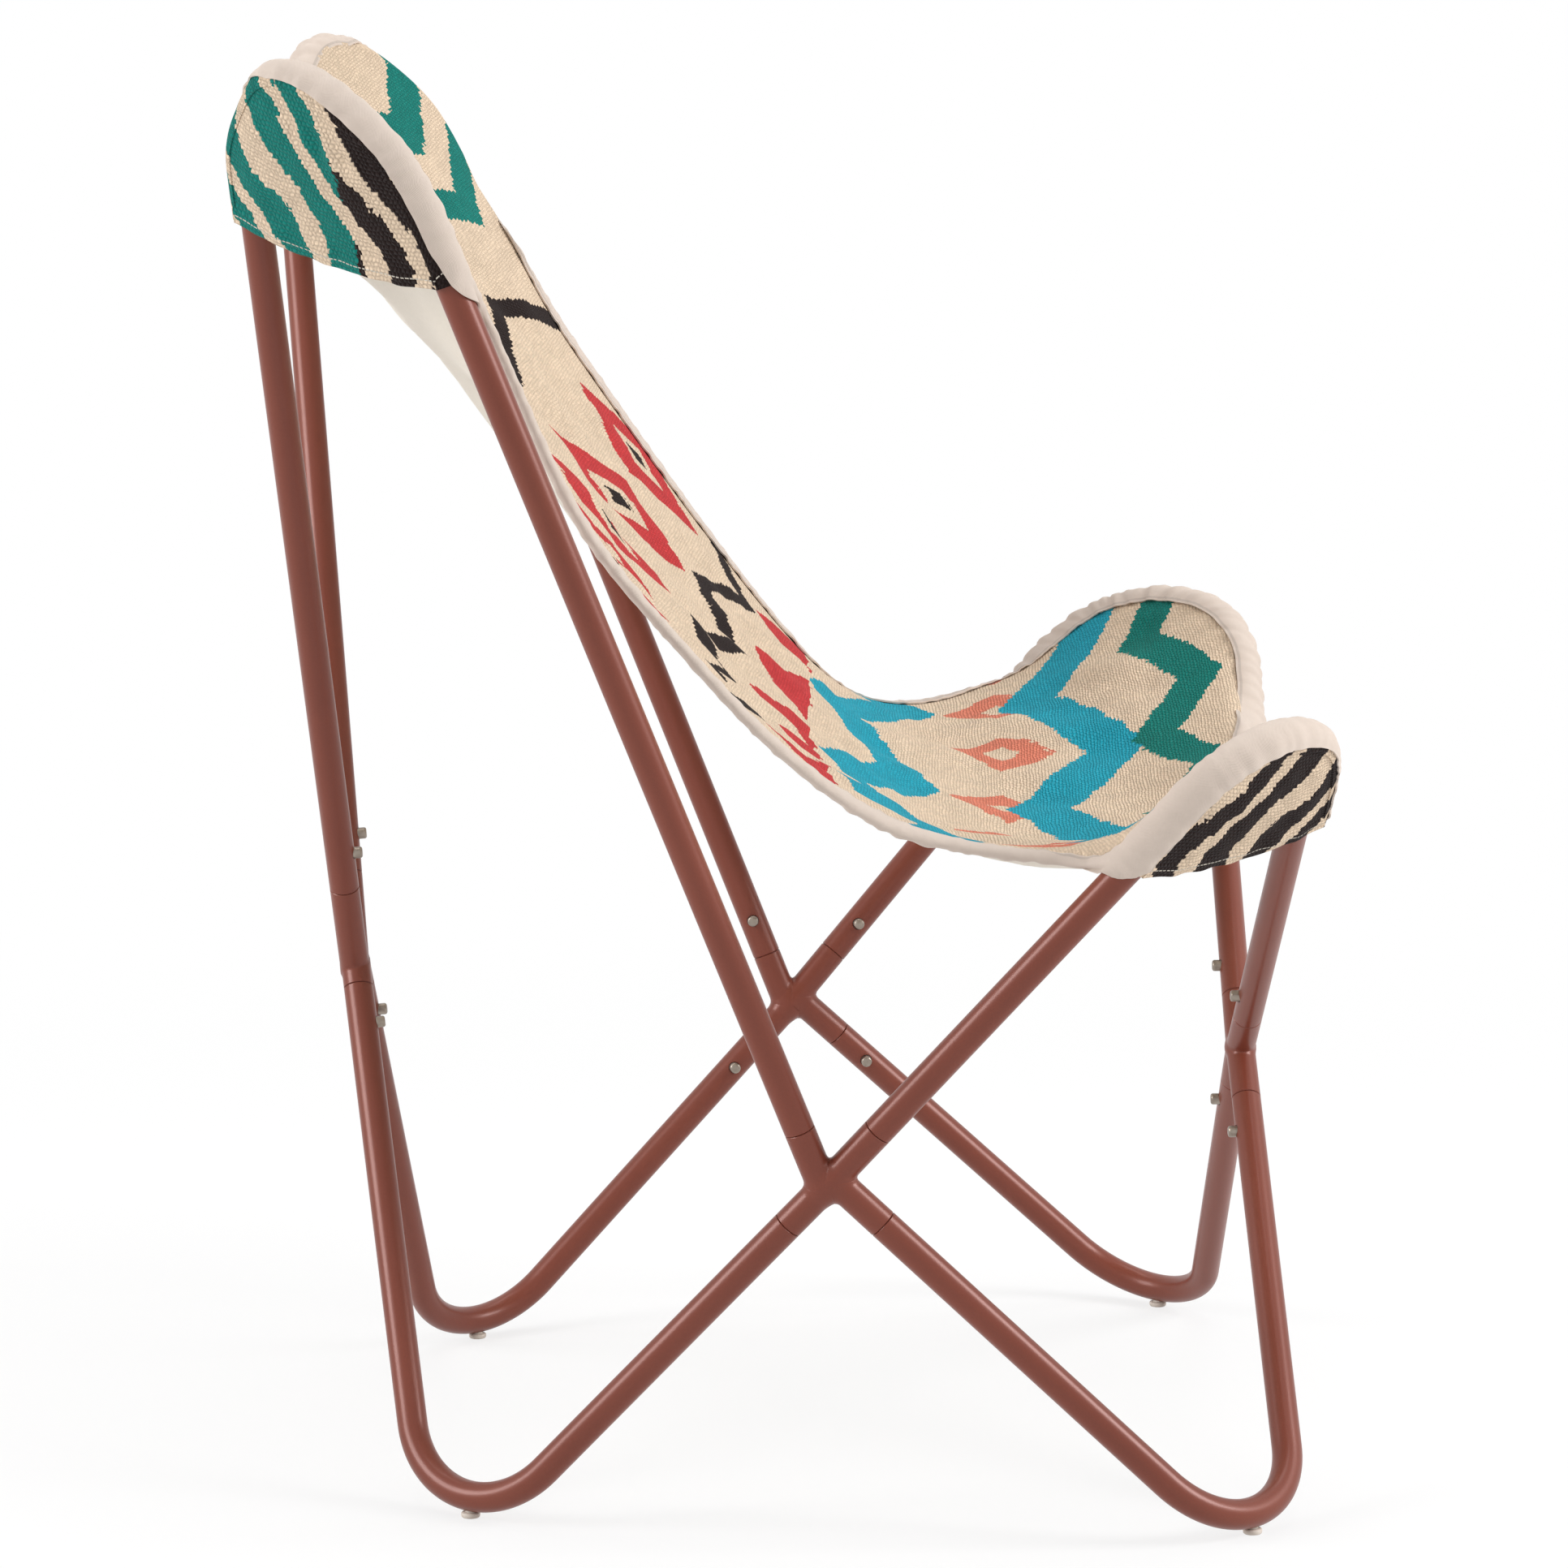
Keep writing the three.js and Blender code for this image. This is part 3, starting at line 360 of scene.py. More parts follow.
def woven(name, pattern, wide, tall, relief, stitched=False):
    """Nubby wool flat weave: its motifs step from stitch to stitch, each stitch stands up, and the dips
    between stitches are painted darker as shade.
    """
    def build(tree, shader):
        x, y = flat_xy(tree)
        where = vector(tree, x, y)
        sway = (noise(tree, where, 0.05, 1.0) - 0.5) * 4
        jitter = (noise(tree, where, 0.27, 0.0) - 0.5) * 2.6
        x, y, plain_y = x + sway * 0.4 + jitter, y + sway + jitter * 0.5, y
        row = (y * (1 / tall)).op("FLOOR")
        shift = row.op("FLOORED_MODULO", 2.0) * 0.5
        run = x * (1 / wide) + shift
        cell_x, cell_y = (run.op("FLOOR") + 0.5 - shift) * wide, (row + 0.5) * tall
        soft = noise(tree, where, 0.05, 2.0)
        colour = pattern(tree, cell_x + (soft - 0.5) * 7, cell_y + (soft - 0.5) * 6)
        cell = vector(tree, cell_x, cell_y)
        chance = Field(tree, add_node(tree, "TexWhiteNoise", {"Vector": cell}, noise_dimensions="2D"))
        dip_x, dip_y = ((along.op("FRACT") - 0.5) * 2 for along in (run, y * (1 / tall)))
        knot = ((dip_x * dip_x * 0.7 + dip_y * dip_y * 0.9) * -1 + 1).op("MAXIMUM", 0.0)
        fuzz = noise(tree, where, 1.4, 3.0, 0.65)
        # Tone per stitch comes from chance, soft and fuzz; the knot term is painted shade, lighter at each
        # stitch's middle and darker in the dips round it.
        shade = chance * 0.2 + knot * (0.16 * relief) + soft * 0.22 + 0.72 + (fuzz - 0.5) * 0.16
        height = knot * (chance * 0.4 + 0.7) + fuzz * 0.6
        if stitched:
            thread = plain_y.within(0, 0.42) * ((x * 0.28).op("FRACT") < 0.72)
            colour = mix(tree, thread, colour, THREAD)
            height = height + thread * 0.5
        feed(tree, scaled(tree, colour, shade), shader.inputs["Base Color"])
        bump(tree, shader, height, 0.0018 * relief, 0.9)
    return material(name, build, Roughness=0.95, Sheen_Weight=0.06, Sheen_Roughness=0.5,
                    Specular_IOR_Level=0.08)


def canvas(name, colour, stitches=()):
    """Plain cotton canvas with a fine square weave and soft mottling, with painted shade in the weave's
    hollows and along its stitch grooves.
    """
    def build(tree, shader):
        x, y = flat_xy(tree)
        where = vector(tree, x, y)
        weave = (x * (2 * math.pi / 0.9)).op("SINE") * (y * (2 * math.pi / 0.9)).op("SINE")
        slub = noise(tree, where, 0.35, 3.0, 0.6)
        soft = noise(tree, where, 0.03, 2.0)
        # The weave term is painted shade: the same waves as the weave's bump, lighter on its raised threads
        # and darker in its hollows.
        shade = (soft - 0.5) * 0.1 + (slub - 0.5) * 0.08 + weave * 0.025 + 1.0
        height = weave * 0.5 + slub * 0.8
        tone = srgb(*colour)
        darker = srgb(*(c * 0.86 for c in colour))
        mask = slub < 0.2
        for at in stitches:
            dash = y.within(at, 0.5) * ((x * 0.3).op("FRACT") < 0.7)
            # A band along each stitch line is painted darker: painted shade in the groove the stitches pull
            # in, which the bump also sinks.
            mask = mask.op("MAXIMUM", y.within(at, 0.9) * 0.6)
            height = height - y.within(at, 1.1) * 1.2 + dash * 1.4
        base = mix(tree, mask, tone, darker)
        feed(tree, scaled(tree, base, shade), shader.inputs["Base Color"])
        bump(tree, shader, height, 0.0005, 0.6)
    return material(name, build, Roughness=0.88, Sheen_Weight=0.2, Sheen_Roughness=0.6,
                    Specular_IOR_Level=0.25)


def powder_coat(tree, shader):
    where = object_place(tree)
    cloud = noise(tree, where, 9, 2.0)
    grain = noise(tree, where, 900, 2.0)
    base = mix(tree, cloud, srgb(114, 56, 42), srgb(127, 65, 49))
    feed(tree, scaled(tree, base, grain * 0.14 + 0.93), shader.inputs["Base Color"])
    rough = noise(tree, where, 40, 3.0) * 0.1 + 0.3
    feed(tree, rough, shader.inputs["Roughness"])
    bump(tree, shader, grain, 0.00012, 0.5)


def clouded(dark, light, size, rough_range, rough_least, grain=0, relief=0.0):
    """A hard surface stained from dark to light, rougher where it is lighter, with a fine grain."""
    def build(tree, shader):
        where = object_place(tree)
        cloud = noise(tree, where, size, 3.0)
        feed(tree, mix(tree, cloud, srgb(*dark), srgb(*light)), shader.inputs["Base Color"])
        feed(tree, cloud * rough_range + rough_least, shader.inputs["Roughness"])
        if grain:
            bump(tree, shader, noise(tree, where, grain, 1.0), 0.0001, relief)
    return build


turned_steel = clouded((120, 108, 98), (176, 166, 154), 260, 0.25, 0.25, 1500, 0.5)
spring_steel = clouded((92, 94, 100), (140, 142, 148), 180, 0.2, 0.3)
moulded_nylon = clouded((206, 194, 182), (228, 219, 208), 120, 0.15, 0.42, 1100, 0.3)
COAT = material("copper_powder_coat", powder_coat, Metallic=0.1, Specular_IOR_Level=0.3,
                Coat_Weight=0.12, Coat_Roughness=0.18)
STEEL = material("turned_steel", turned_steel, Metallic=0.9)
SPRING = material("blued_spring_steel", spring_steel, Metallic=0.9)
NYLON = material("moulded_nylon", moulded_nylon)
FACE = woven("woven_wool_face", face_pattern, 2.9, 2.2, 0.6)
REAR_POCKET = woven("woven_wool_rear_pocket", stripes_pattern(TEAL, BLACK), 3.2, 2.8, 1.0, stitched=True)
FRONT_POCKET = woven("woven_wool_front_pocket", stripes_pattern(BLACK, BLACK), 3.2, 2.8, 1.0, stitched=True)
LINING = canvas("cotton_lining", (235, 226, 212))
BINDING = canvas("cotton_binding", (214, 198, 185), (2.5, 38.0))


# Meshes
def mesh_piece(name, points, faces, made_of, uv=None, smooth_angle=None):
    mesh = bpy.data.meshes.new(name)
    mesh.from_pydata(place(points).tolist(), [], faces)
    if uv is not None:
        layer = mesh.uv_layers.new(name="flat")
        index = np.zeros(len(mesh.loops), np.int32)
        mesh.loops.foreach_get("vertex_index", index)
        layer.data.foreach_set("uv", (np.asarray(uv)[index] / METRE).astype(np.float32).ravel())
    mesh.materials.append(made_of)
    mesh.polygons.foreach_set("use_smooth", [True] * len(mesh.polygons))
    if smooth_angle:
        mesh.set_sharp_from_angle(angle=math.radians(smooth_angle))
    piece = bpy.data.objects.new(name, mesh)
    bpy.context.scene.collection.objects.link(piece)
    return piece


def settle(piece, slot, *nodes, body="chair"):
    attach(piece, body)
    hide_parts(*nodes)
    return piece


def volume(points, faces):
    total = 0.0
    for face in faces:
        a = points[face[0]]
        for b, c in zip(face[1:-1], face[2:]):
            total += a @ np.cross(points[b], points[c])
    return total


def outwards(points, faces):
    return faces if volume(points, faces) > 0 else [face[::-1] for face in faces]


def ring_faces(count, around):
    """Quads between rings of points that follow each other."""
    nexts = [*range(1, around), 0]
    return [(k * around + c, k * around + d, (k + 1) * around + d, (k + 1) * around + c)
            for k in range(count - 1) for c, d in enumerate(nexts)]


def rings(sections, closed_ends=True):
    """Faces of a strip swept through rings of points, with its end rings closed."""
    count, around = sections.shape[:2]
    points = sections.reshape(-1, 3)
    faces = ring_faces(count, around)
    if closed_ends:
        last = (count - 1) * around
        for c in range(around // 2 - 1):
            a, b, e, f = c, c + 1, around - 2 - c, around - 1 - c
            faces.append((a, f, e, b))
            faces.append((last + a, last + b, last + e, last + f))
    return points, outwards(points, faces)


def lathe(profile, origin, axis, sides=32):
    """A closed turned solid: profile is (radius, height) from the axis round to the axis."""
    side = unit(np.cross(axis, vec(0.3, 0.5, 0.8)))
    other = np.cross(axis, side)
    angle = np.arange(sides) * 2 * math.pi / sides
    spokes = side * np.cos(angle)[:, None] + other * np.sin(angle)[:, None]
    points = []
    for radius, height in profile[1:-1]:
        points.extend(origin + axis * height + spokes * radius)
    points.extend([origin + axis * profile[0][1], origin + axis * profile[-1][1]])
    rows = len(profile) - 2
    faces = ring_faces(rows, sides)
    for c in range(sides):
        d = (c + 1) % sides
        faces.append((rows * sides, c, d)[::-1])
        faces.append((rows * sides + 1, (rows - 1) * sides + c, (rows - 1) * sides + d))
    points = np.array(points)
    return points, outwards(points, faces)


def joined(parts):
    points, faces, start = [], [], 0
    for part_points, part_faces in parts:
        points.append(part_points)
        faces += [tuple(i + start for i in face) for face in part_faces]
        start += len(part_points)
    return np.concatenate(points), faces


SHARP = 35


def cut_holes(piece, holes):
    cutter = mesh_piece("cutter", *joined(holes), COAT)
    modifier = piece.modifiers.new("holes", "BOOLEAN")
    modifier.object, modifier.operation, modifier.solver = cutter, "DIFFERENCE", "EXACT"
    graph = bpy.context.evaluated_depsgraph_get()
    cut = bpy.data.meshes.new_from_object(piece.evaluated_get(graph))
    piece.modifiers.clear()
    piece.data = cut
    bpy.data.objects.remove(cutter)
    cut.set_sharp_from_angle(angle=math.radians(SHARP))


class Arm:
    """An arm of a cross, on the way from a crossing into the leg of a loop or foot."""

    def __init__(self, side, name, end):
        bend, at_side = bends[side][name], end == "side"
        self.bend, self.sign = bend, 1 if at_side else -1
        self.node = bend.side_end if at_side else bend.middle_end
        self.heading = -(bend.to_side if at_side else bend.to_middle)
        self.length = ARM[name][0 if at_side else 1]
        inward = vec(-OUT[side], 0, 0) if at_side else vec(0, -np.sign(self.node[1]), 0)
        self.press = unit(inward - self.heading * (inward @ self.heading))
        self.seam = self.node + self.heading * self.length
        self.spot = self.seam + self.heading * SPOT_FROM_SEAM

    def hole(self):
        radius, start, stop = BUTTON_RADIUS + HOLE_GAP, 2, 14
        return lathe([(0, start), (radius, start), (radius, stop), (0, stop)], self.spot, self.press)


arms = {f"{s}_{n}_{e}": Arm(s, n, e) for s in bends for n in ARM for e in ("side", "middle")}
circle = np.arange(TUBE_SIDES) * 2 * math.pi / TUBE_SIDES


def pipe(bend, turns, radii):
    """A closed pipe along a bend, its outside and then its bore back again."""
    sections = [bend.point(t, r * np.cos(circle), r * np.sin(circle)) for t, r in zip(turns, radii)]
    points, faces = rings(np.array([*sections, sections[0]]), closed_ends=False)
    count = len(sections) * TUBE_SIDES
    faces = [tuple(i % count for i in face) for face in faces]
    return points[:count], outwards(points[:count], faces)


UP = vec(0, 0, 1)
STEM_HOLE = [(0, 1), (3.8, 1), (3.8, 12), (0, 12)]
GLIDE = [
    (0, 0), (4.6, 0), (5.5, 0.25), (5.9, 0.8), (6, 1.4), (6, 2.6), (5.6, 3.2), (4.6, 3.6),
    (3.6, 3.7), (3.5, 4), (3.5, 6.2), (3.1, 6.5), (0, 6.5)]


def bent_tube(side, name):
    """A bored tube from seam to seam with its button holes, and under a foot its glide."""
    bend = bends[side][name]
    ends = [arms[f"{side}_{name}_{end}"] for end in ("middle", "side")]
    runs = [(arm.seam + arm.heading * FIT / 2 - bend.centre) @ -arm.heading for arm in ends]
    first, last = -(bend.reach + runs[0] / bend.radius), bend.reach + runs[1] / bend.radius
    lip, holed = LIP / bend.radius, HOLED_RUN / bend.radius
    curve = np.linspace(*bend.curve, BEND_RINGS)
    turns = [first, first + lip, first + holed, *curve, last - holed, last - lip, last]
    radii = [TUBE - LIP] + [TUBE] * (len(turns) - 2) + [TUBE - LIP]
    back = [last, last - holed, *curve[::-4], first + holed, first]
    tube = mesh_piece(f"coated_{side}_{name}", *pipe(bend, turns + back, radii + [BORE] * len(back)), COAT)
    holes = [arm.hole() for arm in ends]
    if name.endswith("foot"):
        spot = bend.point(bend.low_turn) * vec(1, 1, 0)
        holes.append(lathe(STEM_HOLE, spot, UP))
        node = f"{side}_{name[:-5]}_glide"
        glide = mesh_piece(f"moulded_{node}", *lathe(GLIDE, spot, UP), NYLON, smooth_angle=40)
        settle(glide, "glide_nylon", node)
    cut_holes(tube, holes)
    settle(tube, "frame_coat", f"{side}_{name}")


def welded(points, members, fillet):
    """The distance outside the arms, rounded where they meet, and outside each of them."""
    parts = []
    for arm in members:
        run = np.clip((points - arm.node) @ arm.heading, 0, arm.length)
        parts.append(np.linalg.norm(points - arm.node - run[..., None] * arm.heading, axis=-1) - TUBE)
    total = parts[0]
    for part in parts[1:]:
        blend = np.maximum(fillet - np.abs(total - part), 0) / fillet
        total = np.minimum(total, part) - blend * blend * fillet / 4
    return total, parts


def cross(name, keys):
    """Arms that run into each other with a weld fillet, and a spigot beyond each seam."""
    members = [arms[key] for key in keys]
    parts = []
    for number, arm in enumerate(members):
        outward = arm.bend.outward(np.array(arm.sign * math.pi))
        spokes = outward * np.cos(circle)[:, None] + arm.bend.normal * np.sin(circle)[:, None]
        runs = [*np.linspace(0, min(arm.length - 2.0, 34.0), 40), arm.length - FIT / 2 - LIP]
        base = (arm.node + np.array(runs)[:, None] * arm.heading)[:, None] + TUBE * spokes
        grown = np.zeros(base.shape[:2])
        for _ in range(14):
            far, _each = welded(base + spokes * grown[..., None], members, FILLET[name])
            grown = np.clip(grown - np.minimum(far, 0), 0, 3.2)
        _far, each = welded(base + spokes * grown[..., None], members, FILLET[name])
        foreign = np.maximum(each[number] - np.minimum.reduce(each), 0)
        surface = base + spokes * (grown - 0.6 * np.minimum(foreign, 6))[..., None]
        seam, root, tip = arm.length - FIT / 2, arm.length - SPIGOT_ROOT, arm.length + SPIGOT_LENGTH
        stub = [(seam, TUBE - LIP), (seam, BORE), (root - 1, BORE), (0, 0)]
        bore = SPIGOT - SPIGOT_WALL
        spigot = [(root, bore), (root, SPIGOT), (tip - 0.6, SPIGOT), (tip, SPIGOT - 0.6), (tip, bore)]
        spigot.append(spigot[0])
        stub, spigot = ([arm.node + run * arm.heading + radius * spokes for run, radius in outline]
                        for outline in (stub, spigot))
        for sections in ([*surface, *stub], spigot):
            parts.append(rings(np.array(sections), closed_ends=False))
    parts = [(points, outwards(points, faces)) for points, faces in parts]
    piece = mesh_piece(f"welded_{name}", *joined(parts), COAT)
    piece.data.set_sharp_from_angle(angle=math.radians(SHARP))
    settle(piece, "frame_coat", name)


def button(name, arm):
    """A turned pin on its flange, and the finish of the leaf spring under it."""
    top, rim, waist = TUBE + BUTTON_PROUD, 4.5, 4.3
    profile = [
        (0, 3.1), (waist, 3.1), (rim, 3.3), (rim, 3.7), (waist, 3.9), (BUTTON_RADIUS, 3.9),
        (BUTTON_RADIUS, top - 1.5), (3.62, top - 0.9), (3.2, top - 0.35), (2.6, top - 0.05), (0, top)]
    pin = mesh_piece(f"turned_{name}_button", *lathe(profile, arm.spot, arm.press), STEEL, smooth_angle=50)
    settle(pin, "pin_steel", f"{name}_button", body=f"{name}_button")
    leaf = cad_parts[f"{name}_spring"]
    leaf.data.materials.clear()
    leaf.data.materials.append(SPRING)


for side in bends:
    for name in ARM:
        bent_tube(side, name)
for side in bends:
    cross(f"{side}_cross", [f"{side}_{name}_side" for name in ARM])
for end in ("rear", "front"):
    cross(f"{end}_cross", [f"{side}_{end}_{kind}_middle" for side in bends for kind in ("loop", "foot")])
for name, arm in arms.items():
    button(name, arm)


# The sling: ears, edges and the sheet between them
WRAP_OUT, WRAP_LIFT, WRAP_ROUND = 11.8, 12.6, 12


class Ear:
    """A corner of the sling over one loop's bend, with the band that wraps it."""

    def __init__(self, name, bend):
        self.name, self.bend = name, bend
        self.stand_off = STAND_OFF[name]
        self.arc = bend.reach * (bend.radius + RIM_OUTSIDE)

    def outside(self, turn):
        turn = np.asarray(turn, float)
        return RIM_OUTSIDE + np.where(turn > 0, *self.stand_off) * ramp(np.abs(turn), 0.15, 1.6)

    def rim(self, turn, lift=SHEET_LIFT):
        return self.bend.point(turn, self.outside(turn), lift)

    def border(self, turn, which):
        table = np.array(BAND[self.name], float)
        return np.interp(turn, table[:, 0], table[:, which])

    def wrap(self, turn, degrees, grow=0.0):
        """A point on the cloth wrapped round the tube, grown past the layers under the band."""
        angle = np.radians(np.clip(degrees, -90, 90))
        out = self.outside(turn) - RIM_OUTSIDE + (WRAP_OUT + grow) * np.cos(angle)
        out = out - WRAP_ROUND * np.radians(np.maximum(np.abs(degrees) - 90, 0))
        return self.bend.point(turn, out, (WRAP_LIFT + grow) * np.sin(angle))

    def on_face(self, points, grow):
        """Points moved up to lie on the sling's face, where they run in over it."""
        turn, outside, lift = self.bend.measure(points)
        net_turn, net_outside, net_lift = (field.ravel() for field in self.bend.measure(sling))
        near = (np.abs(net_turn) < 3) & (np.abs(net_outside) < 45) & (np.abs(net_lift) < 45)
        along = (turn[:, None] - net_turn[near]) * self.bend.radius
        weight = np.exp(-(along ** 2 + (outside[:, None] - net_outside[near]) ** 2) / 18) + 1e-12
        top = (weight * net_lift[near]).sum(1) / weight.sum(1) + FACE_TOP + 0.2 + grow
        return points + self.bend.normal * np.maximum(top - lift, 0)[:, None]


ears = {f"{s}_{e}": Ear(f"{s}_{e}", bends[s][f"{e}_loop"]) for s in bends for e in ("rear", "front")}


class Curve:
    """A centripetal curve through points, followed by shares of its length."""

    def __init__(self, points):
        points = np.array(points, float)
        points = np.vstack([2 * points[0] - points[1], points, 2 * points[-1] - points[-2]])
        fine = np.linspace(0, 1, 40, endpoint=False)[:, None]
        runs = []
        for p0, p1, p2, p3 in zip(points, points[1:], points[2:], points[3:]):
            d0, d1, d2 = (np.sqrt(np.linalg.norm(b - a)) for a, b in ((p0, p1), (p1, p2), (p2, p3)))
            m1 = ((p1 - p0) / d0 - (p2 - p0) / (d0 + d1) + (p2 - p1) / d1) * d1
            m2 = ((p2 - p1) / d1 - (p3 - p1) / (d1 + d2) + (p3 - p2) / d2) * d1
            cubic = (2 * p1 - 2 * p2 + m1 + m2) * fine ** 3 + (3 * p2 - 3 * p1 - 2 * m1 - m2) * fine ** 2
            runs.append(cubic + m1 * fine + p1)
        self.dense = np.vstack([*runs, points[-2]])
        self.shares = run_along(self.dense)
        self.length = self.shares[-1]
        self.shares /= self.length

    def at(self, share):
        return np.stack([np.interp(share, self.shares, self.dense[:, k]) for k in range(3)], -1)


class Edge:
    """One edge of the sling, round its two ears' rims and free between them."""

    def __init__(self, first, last, leaves, free):
        self.first, self.last = first, last
        start, end = (ear.rim(np.linspace(0, leave, 7)) for ear, leave in zip((first, last), leaves))
        end = end[::-1]
        self.curve = Curve([*start, *free(start[-1], end[0]), *end])
        self.arcs = first.arc / self.curve.length, last.arc / self.curve.length

    def share(self, step, first_steps, free_steps, last_steps):
        total = first_steps + free_steps + last_steps
        knots = [0, first_steps, first_steps + free_steps, total]
        return np.interp(step, knots, [0, self.arcs[0], 1 - self.arcs[1], 1])


def side_edge(side, table):
    def free(start, end):
        return [lerp(start, end, run) + vec(-OUT[side] * inset * SIDE_INSET, 0, -drop * SIDE_DROP)
                for run, drop, inset in table]
    return Edge(ears[f"{side}_rear"], ears[f"{side}_front"], (LEAVE["rear"][1], LEAVE["front"][1]), free)


def cross_edge(end, sag, forward):
    def free(start, stop):
        return [lerp(start, stop, run) + vec(0, -lean * forward, -drop * sag)
                for run, drop, lean in CROSS_EDGE]
    leave = -LEAVE[end][0]
    return Edge(ears[f"right_{end}"], ears[f"left_{end}"], (leave, leave), free)


edges = {
    "right": side_edge("right", RIGHT_EDGE), "left": side_edge("left", LEFT_EDGE),
    "rear": cross_edge("rear", TOP_SAG, TOP_FORWARD), "front": cross_edge("front", FRONT_SAG, 0)}
rear_middle, front_middle = edges["rear"].curve.at(0.5), edges["front"].curve.at(0.5)
centre_line = Curve([
    rear_middle,
    *(lerp(rear_middle, front_middle, run) - vec(0, 0, drop * CENTRE_DROP) for run, drop in CENTRE),
    front_middle])


def drape(points):
    """Keeps the cloth on the inner side of the loops' tubes."""
    for bend in loops:
        _turn, outside, lift = bend.measure(points)
        under = (np.abs(outside) < DRAPE_REACH) & (np.abs(lift) < SHEET_LIFT)
        points = points + bend.normal * (np.where(under, SHEET_LIFT - lift, 0))[..., None]
    return points


columns, rows = np.arange(ACROSS * FINE + 1) / FINE, np.arange(DOWN * FINE + 1) / FINE
net_shares = {
    **{k: edges[k].share(columns, REAR_STEPS, ACROSS_STEPS, REAR_STEPS) for k in ("rear", "front")},
    **{k: edges[k].share(rows, REAR_STEPS, ALONG_STEPS, FRONT_STEPS) for k in ("right", "left")}}


def sling_grid():
    """The net of the sling: a sheet through its four edges and middle line, eased and laid on the tubes."""
    u = (columns / ACROSS)[:, None]
    bend_off, middle_off = {}, {}
    for key, middle in (("rear", rear_middle), ("front", front_middle)):
        line = edges[key].curve.at(net_shares[key])
        bend_off[key] = line - lerp(line[0], line[-1], u)
        middle_off[key] = middle - (line[0] + line[-1]) / 2
    right, left = (edges[k].curve.at(net_shares[k])[:, None] for k in ("right", "left"))
    v = ((net_shares["right"] + net_shares["left"]) / 2)[:, None, None]
    rear_weight, front_weight = (1 - v) ** 4, v ** 4
    lift = centre_line.at(v[:, 0, 0])[:, None] - (right + left) / 2
    lift = lift - middle_off["rear"] * rear_weight - middle_off["front"] * front_weight
    grid = lerp(right, left, u) + lift * 4 * u * (1 - u)
    grid = grid + bend_off["rear"] * rear_weight + bend_off["front"] * front_weight
    for _ in range(3 * FINE * FINE):
        around = (grid[:-2, 1:-1] + grid[2:, 1:-1] + grid[1:-1, :-2] + grid[1:-1, 2:]) / 4
        grid[1:-1, 1:-1] = drape(lerp(grid[1:-1, 1:-1], around, 0.4))
    return drape(grid)


def rim_hold(points):
    """How closely each point lies on an ear's rim, from 0 to 1, and that ear's normal."""
    best, normals = np.zeros(points.shape[:-1]), np.zeros(points.shape)
    for ear in ears.values():
        turn, outside, lift = ear.bend.measure(points)
        away = np.maximum(np.abs(outside) - ear.outside(turn), 0) + np.abs(lift - SHEET_LIFT)
        hold = 1 - ramp(away, CLOTH_RIM, 3 * CLOTH_RIM)
        closer = hold > best
        best = np.where(closer, hold, best)
        normals[closer] = ear.bend.normal
    return best[..., None], normals


def grid_normals(grid):
    return unit(np.cross(np.gradient(grid, axis=0), np.gradient(grid, axis=1)))


def flattened(grid):
    """Flat coordinates of a sheet, found by easing a net of its own lengths onto a plane."""
    middle = grid.shape[1] // 2
    x = run_along(grid, 1)
    x -= x[:, middle:middle + 1]
    flat = np.stack([x, np.broadcast_to(run_along(grid[:, middle])[:, None], x.shape)], -1)
    strides = [s for s in (8, 4, 2, 1) if (len(grid) - 1) % s == 0 and (grid.shape[1] - 1) % s == 0]
    for stride in strides:
        coarse, net = grid[::stride, ::stride], flat[::stride, ::stride].copy()
        height, width = net.shape[:2]
        links = [(0, 1), (1, 0), (1, 1), (1, -1)]
        for _ in range(500 if stride > 1 else 150):
            push, count = np.zeros_like(net), np.zeros(net.shape[:2] + (1,))
            for dj, di in links:
                a = (slice(0, height - dj), slice(max(-di, 0), width - max(di, 0)))
                b = (slice(dj, height), slice(max(di, 0), width + min(di, 0)))
                length = np.linalg.norm(coarse[b] - coarse[a], axis=-1, keepdims=True)
                gap = net[b] - net[a]
                size = np.linalg.norm(gap, axis=-1, keepdims=True)
                change = gap * (1 - length / np.maximum(size, 1e-6)) / 2
                push[a] += change
                push[b] -= change
                count[a] += 1
                count[b] += 1
            net += push / count * 1.6
        j, i = np.arange(len(grid)) / stride, np.arange(grid.shape[1]) / stride
        wide = np.stack([[np.interp(i, np.arange(width), line[:, k]) for line in net] for k in (0, 1)], -1)
        flat = np.stack([[np.interp(j, np.arange(height), wide[:, c, k]) for c in range(len(i))]
                         for k in (0, 1)], -1).transpose(1, 0, 2)
    return flat


def shell(name, lower, upper, flat, made_of):
    """A closed sheet between two grids of points."""
    layer = upper.shape[0] * upper.shape[1]
    points = np.concatenate([lower.reshape(-1, 3), upper.reshape(-1, 3)])
    index = np.arange(layer).reshape(upper.shape[:2])
    quads = np.stack([index[:-1, :-1], index[1:, :-1], index[1:, 1:], index[:-1, 1:]], -1).reshape(-1, 4)
    faces = (quads + layer).tolist() + quads[:, ::-1].tolist()
    rim = [*index[0, :], *index[1:, -1], *index[-1, -2::-1], *index[-2:0:-1, 0]]
    faces += [[a, b, b + layer, a + layer] for a, b in zip(rim, rim[1:] + rim[:1])]
    uv = np.concatenate([flat.reshape(-1, 2)] * 2)
    return mesh_piece(name, points, outwards(points, faces), made_of, uv, smooth_angle=60)


def ripple(where, *waves):
    """Soft irregular folds: each wave is (direction, length, height, phase)."""
    total = 0
    for heading, length, height, phase in waves:
        run = where @ unit(vec(*heading))
        total = total + height * np.sin(2 * math.pi * run / length + phase)
    return total


sling = sling_grid()
flat = flattened(sling)
hold, ear_normals = rim_hold(sling)
normals = unit(lerp(grid_normals(sling), ear_normals, hold))

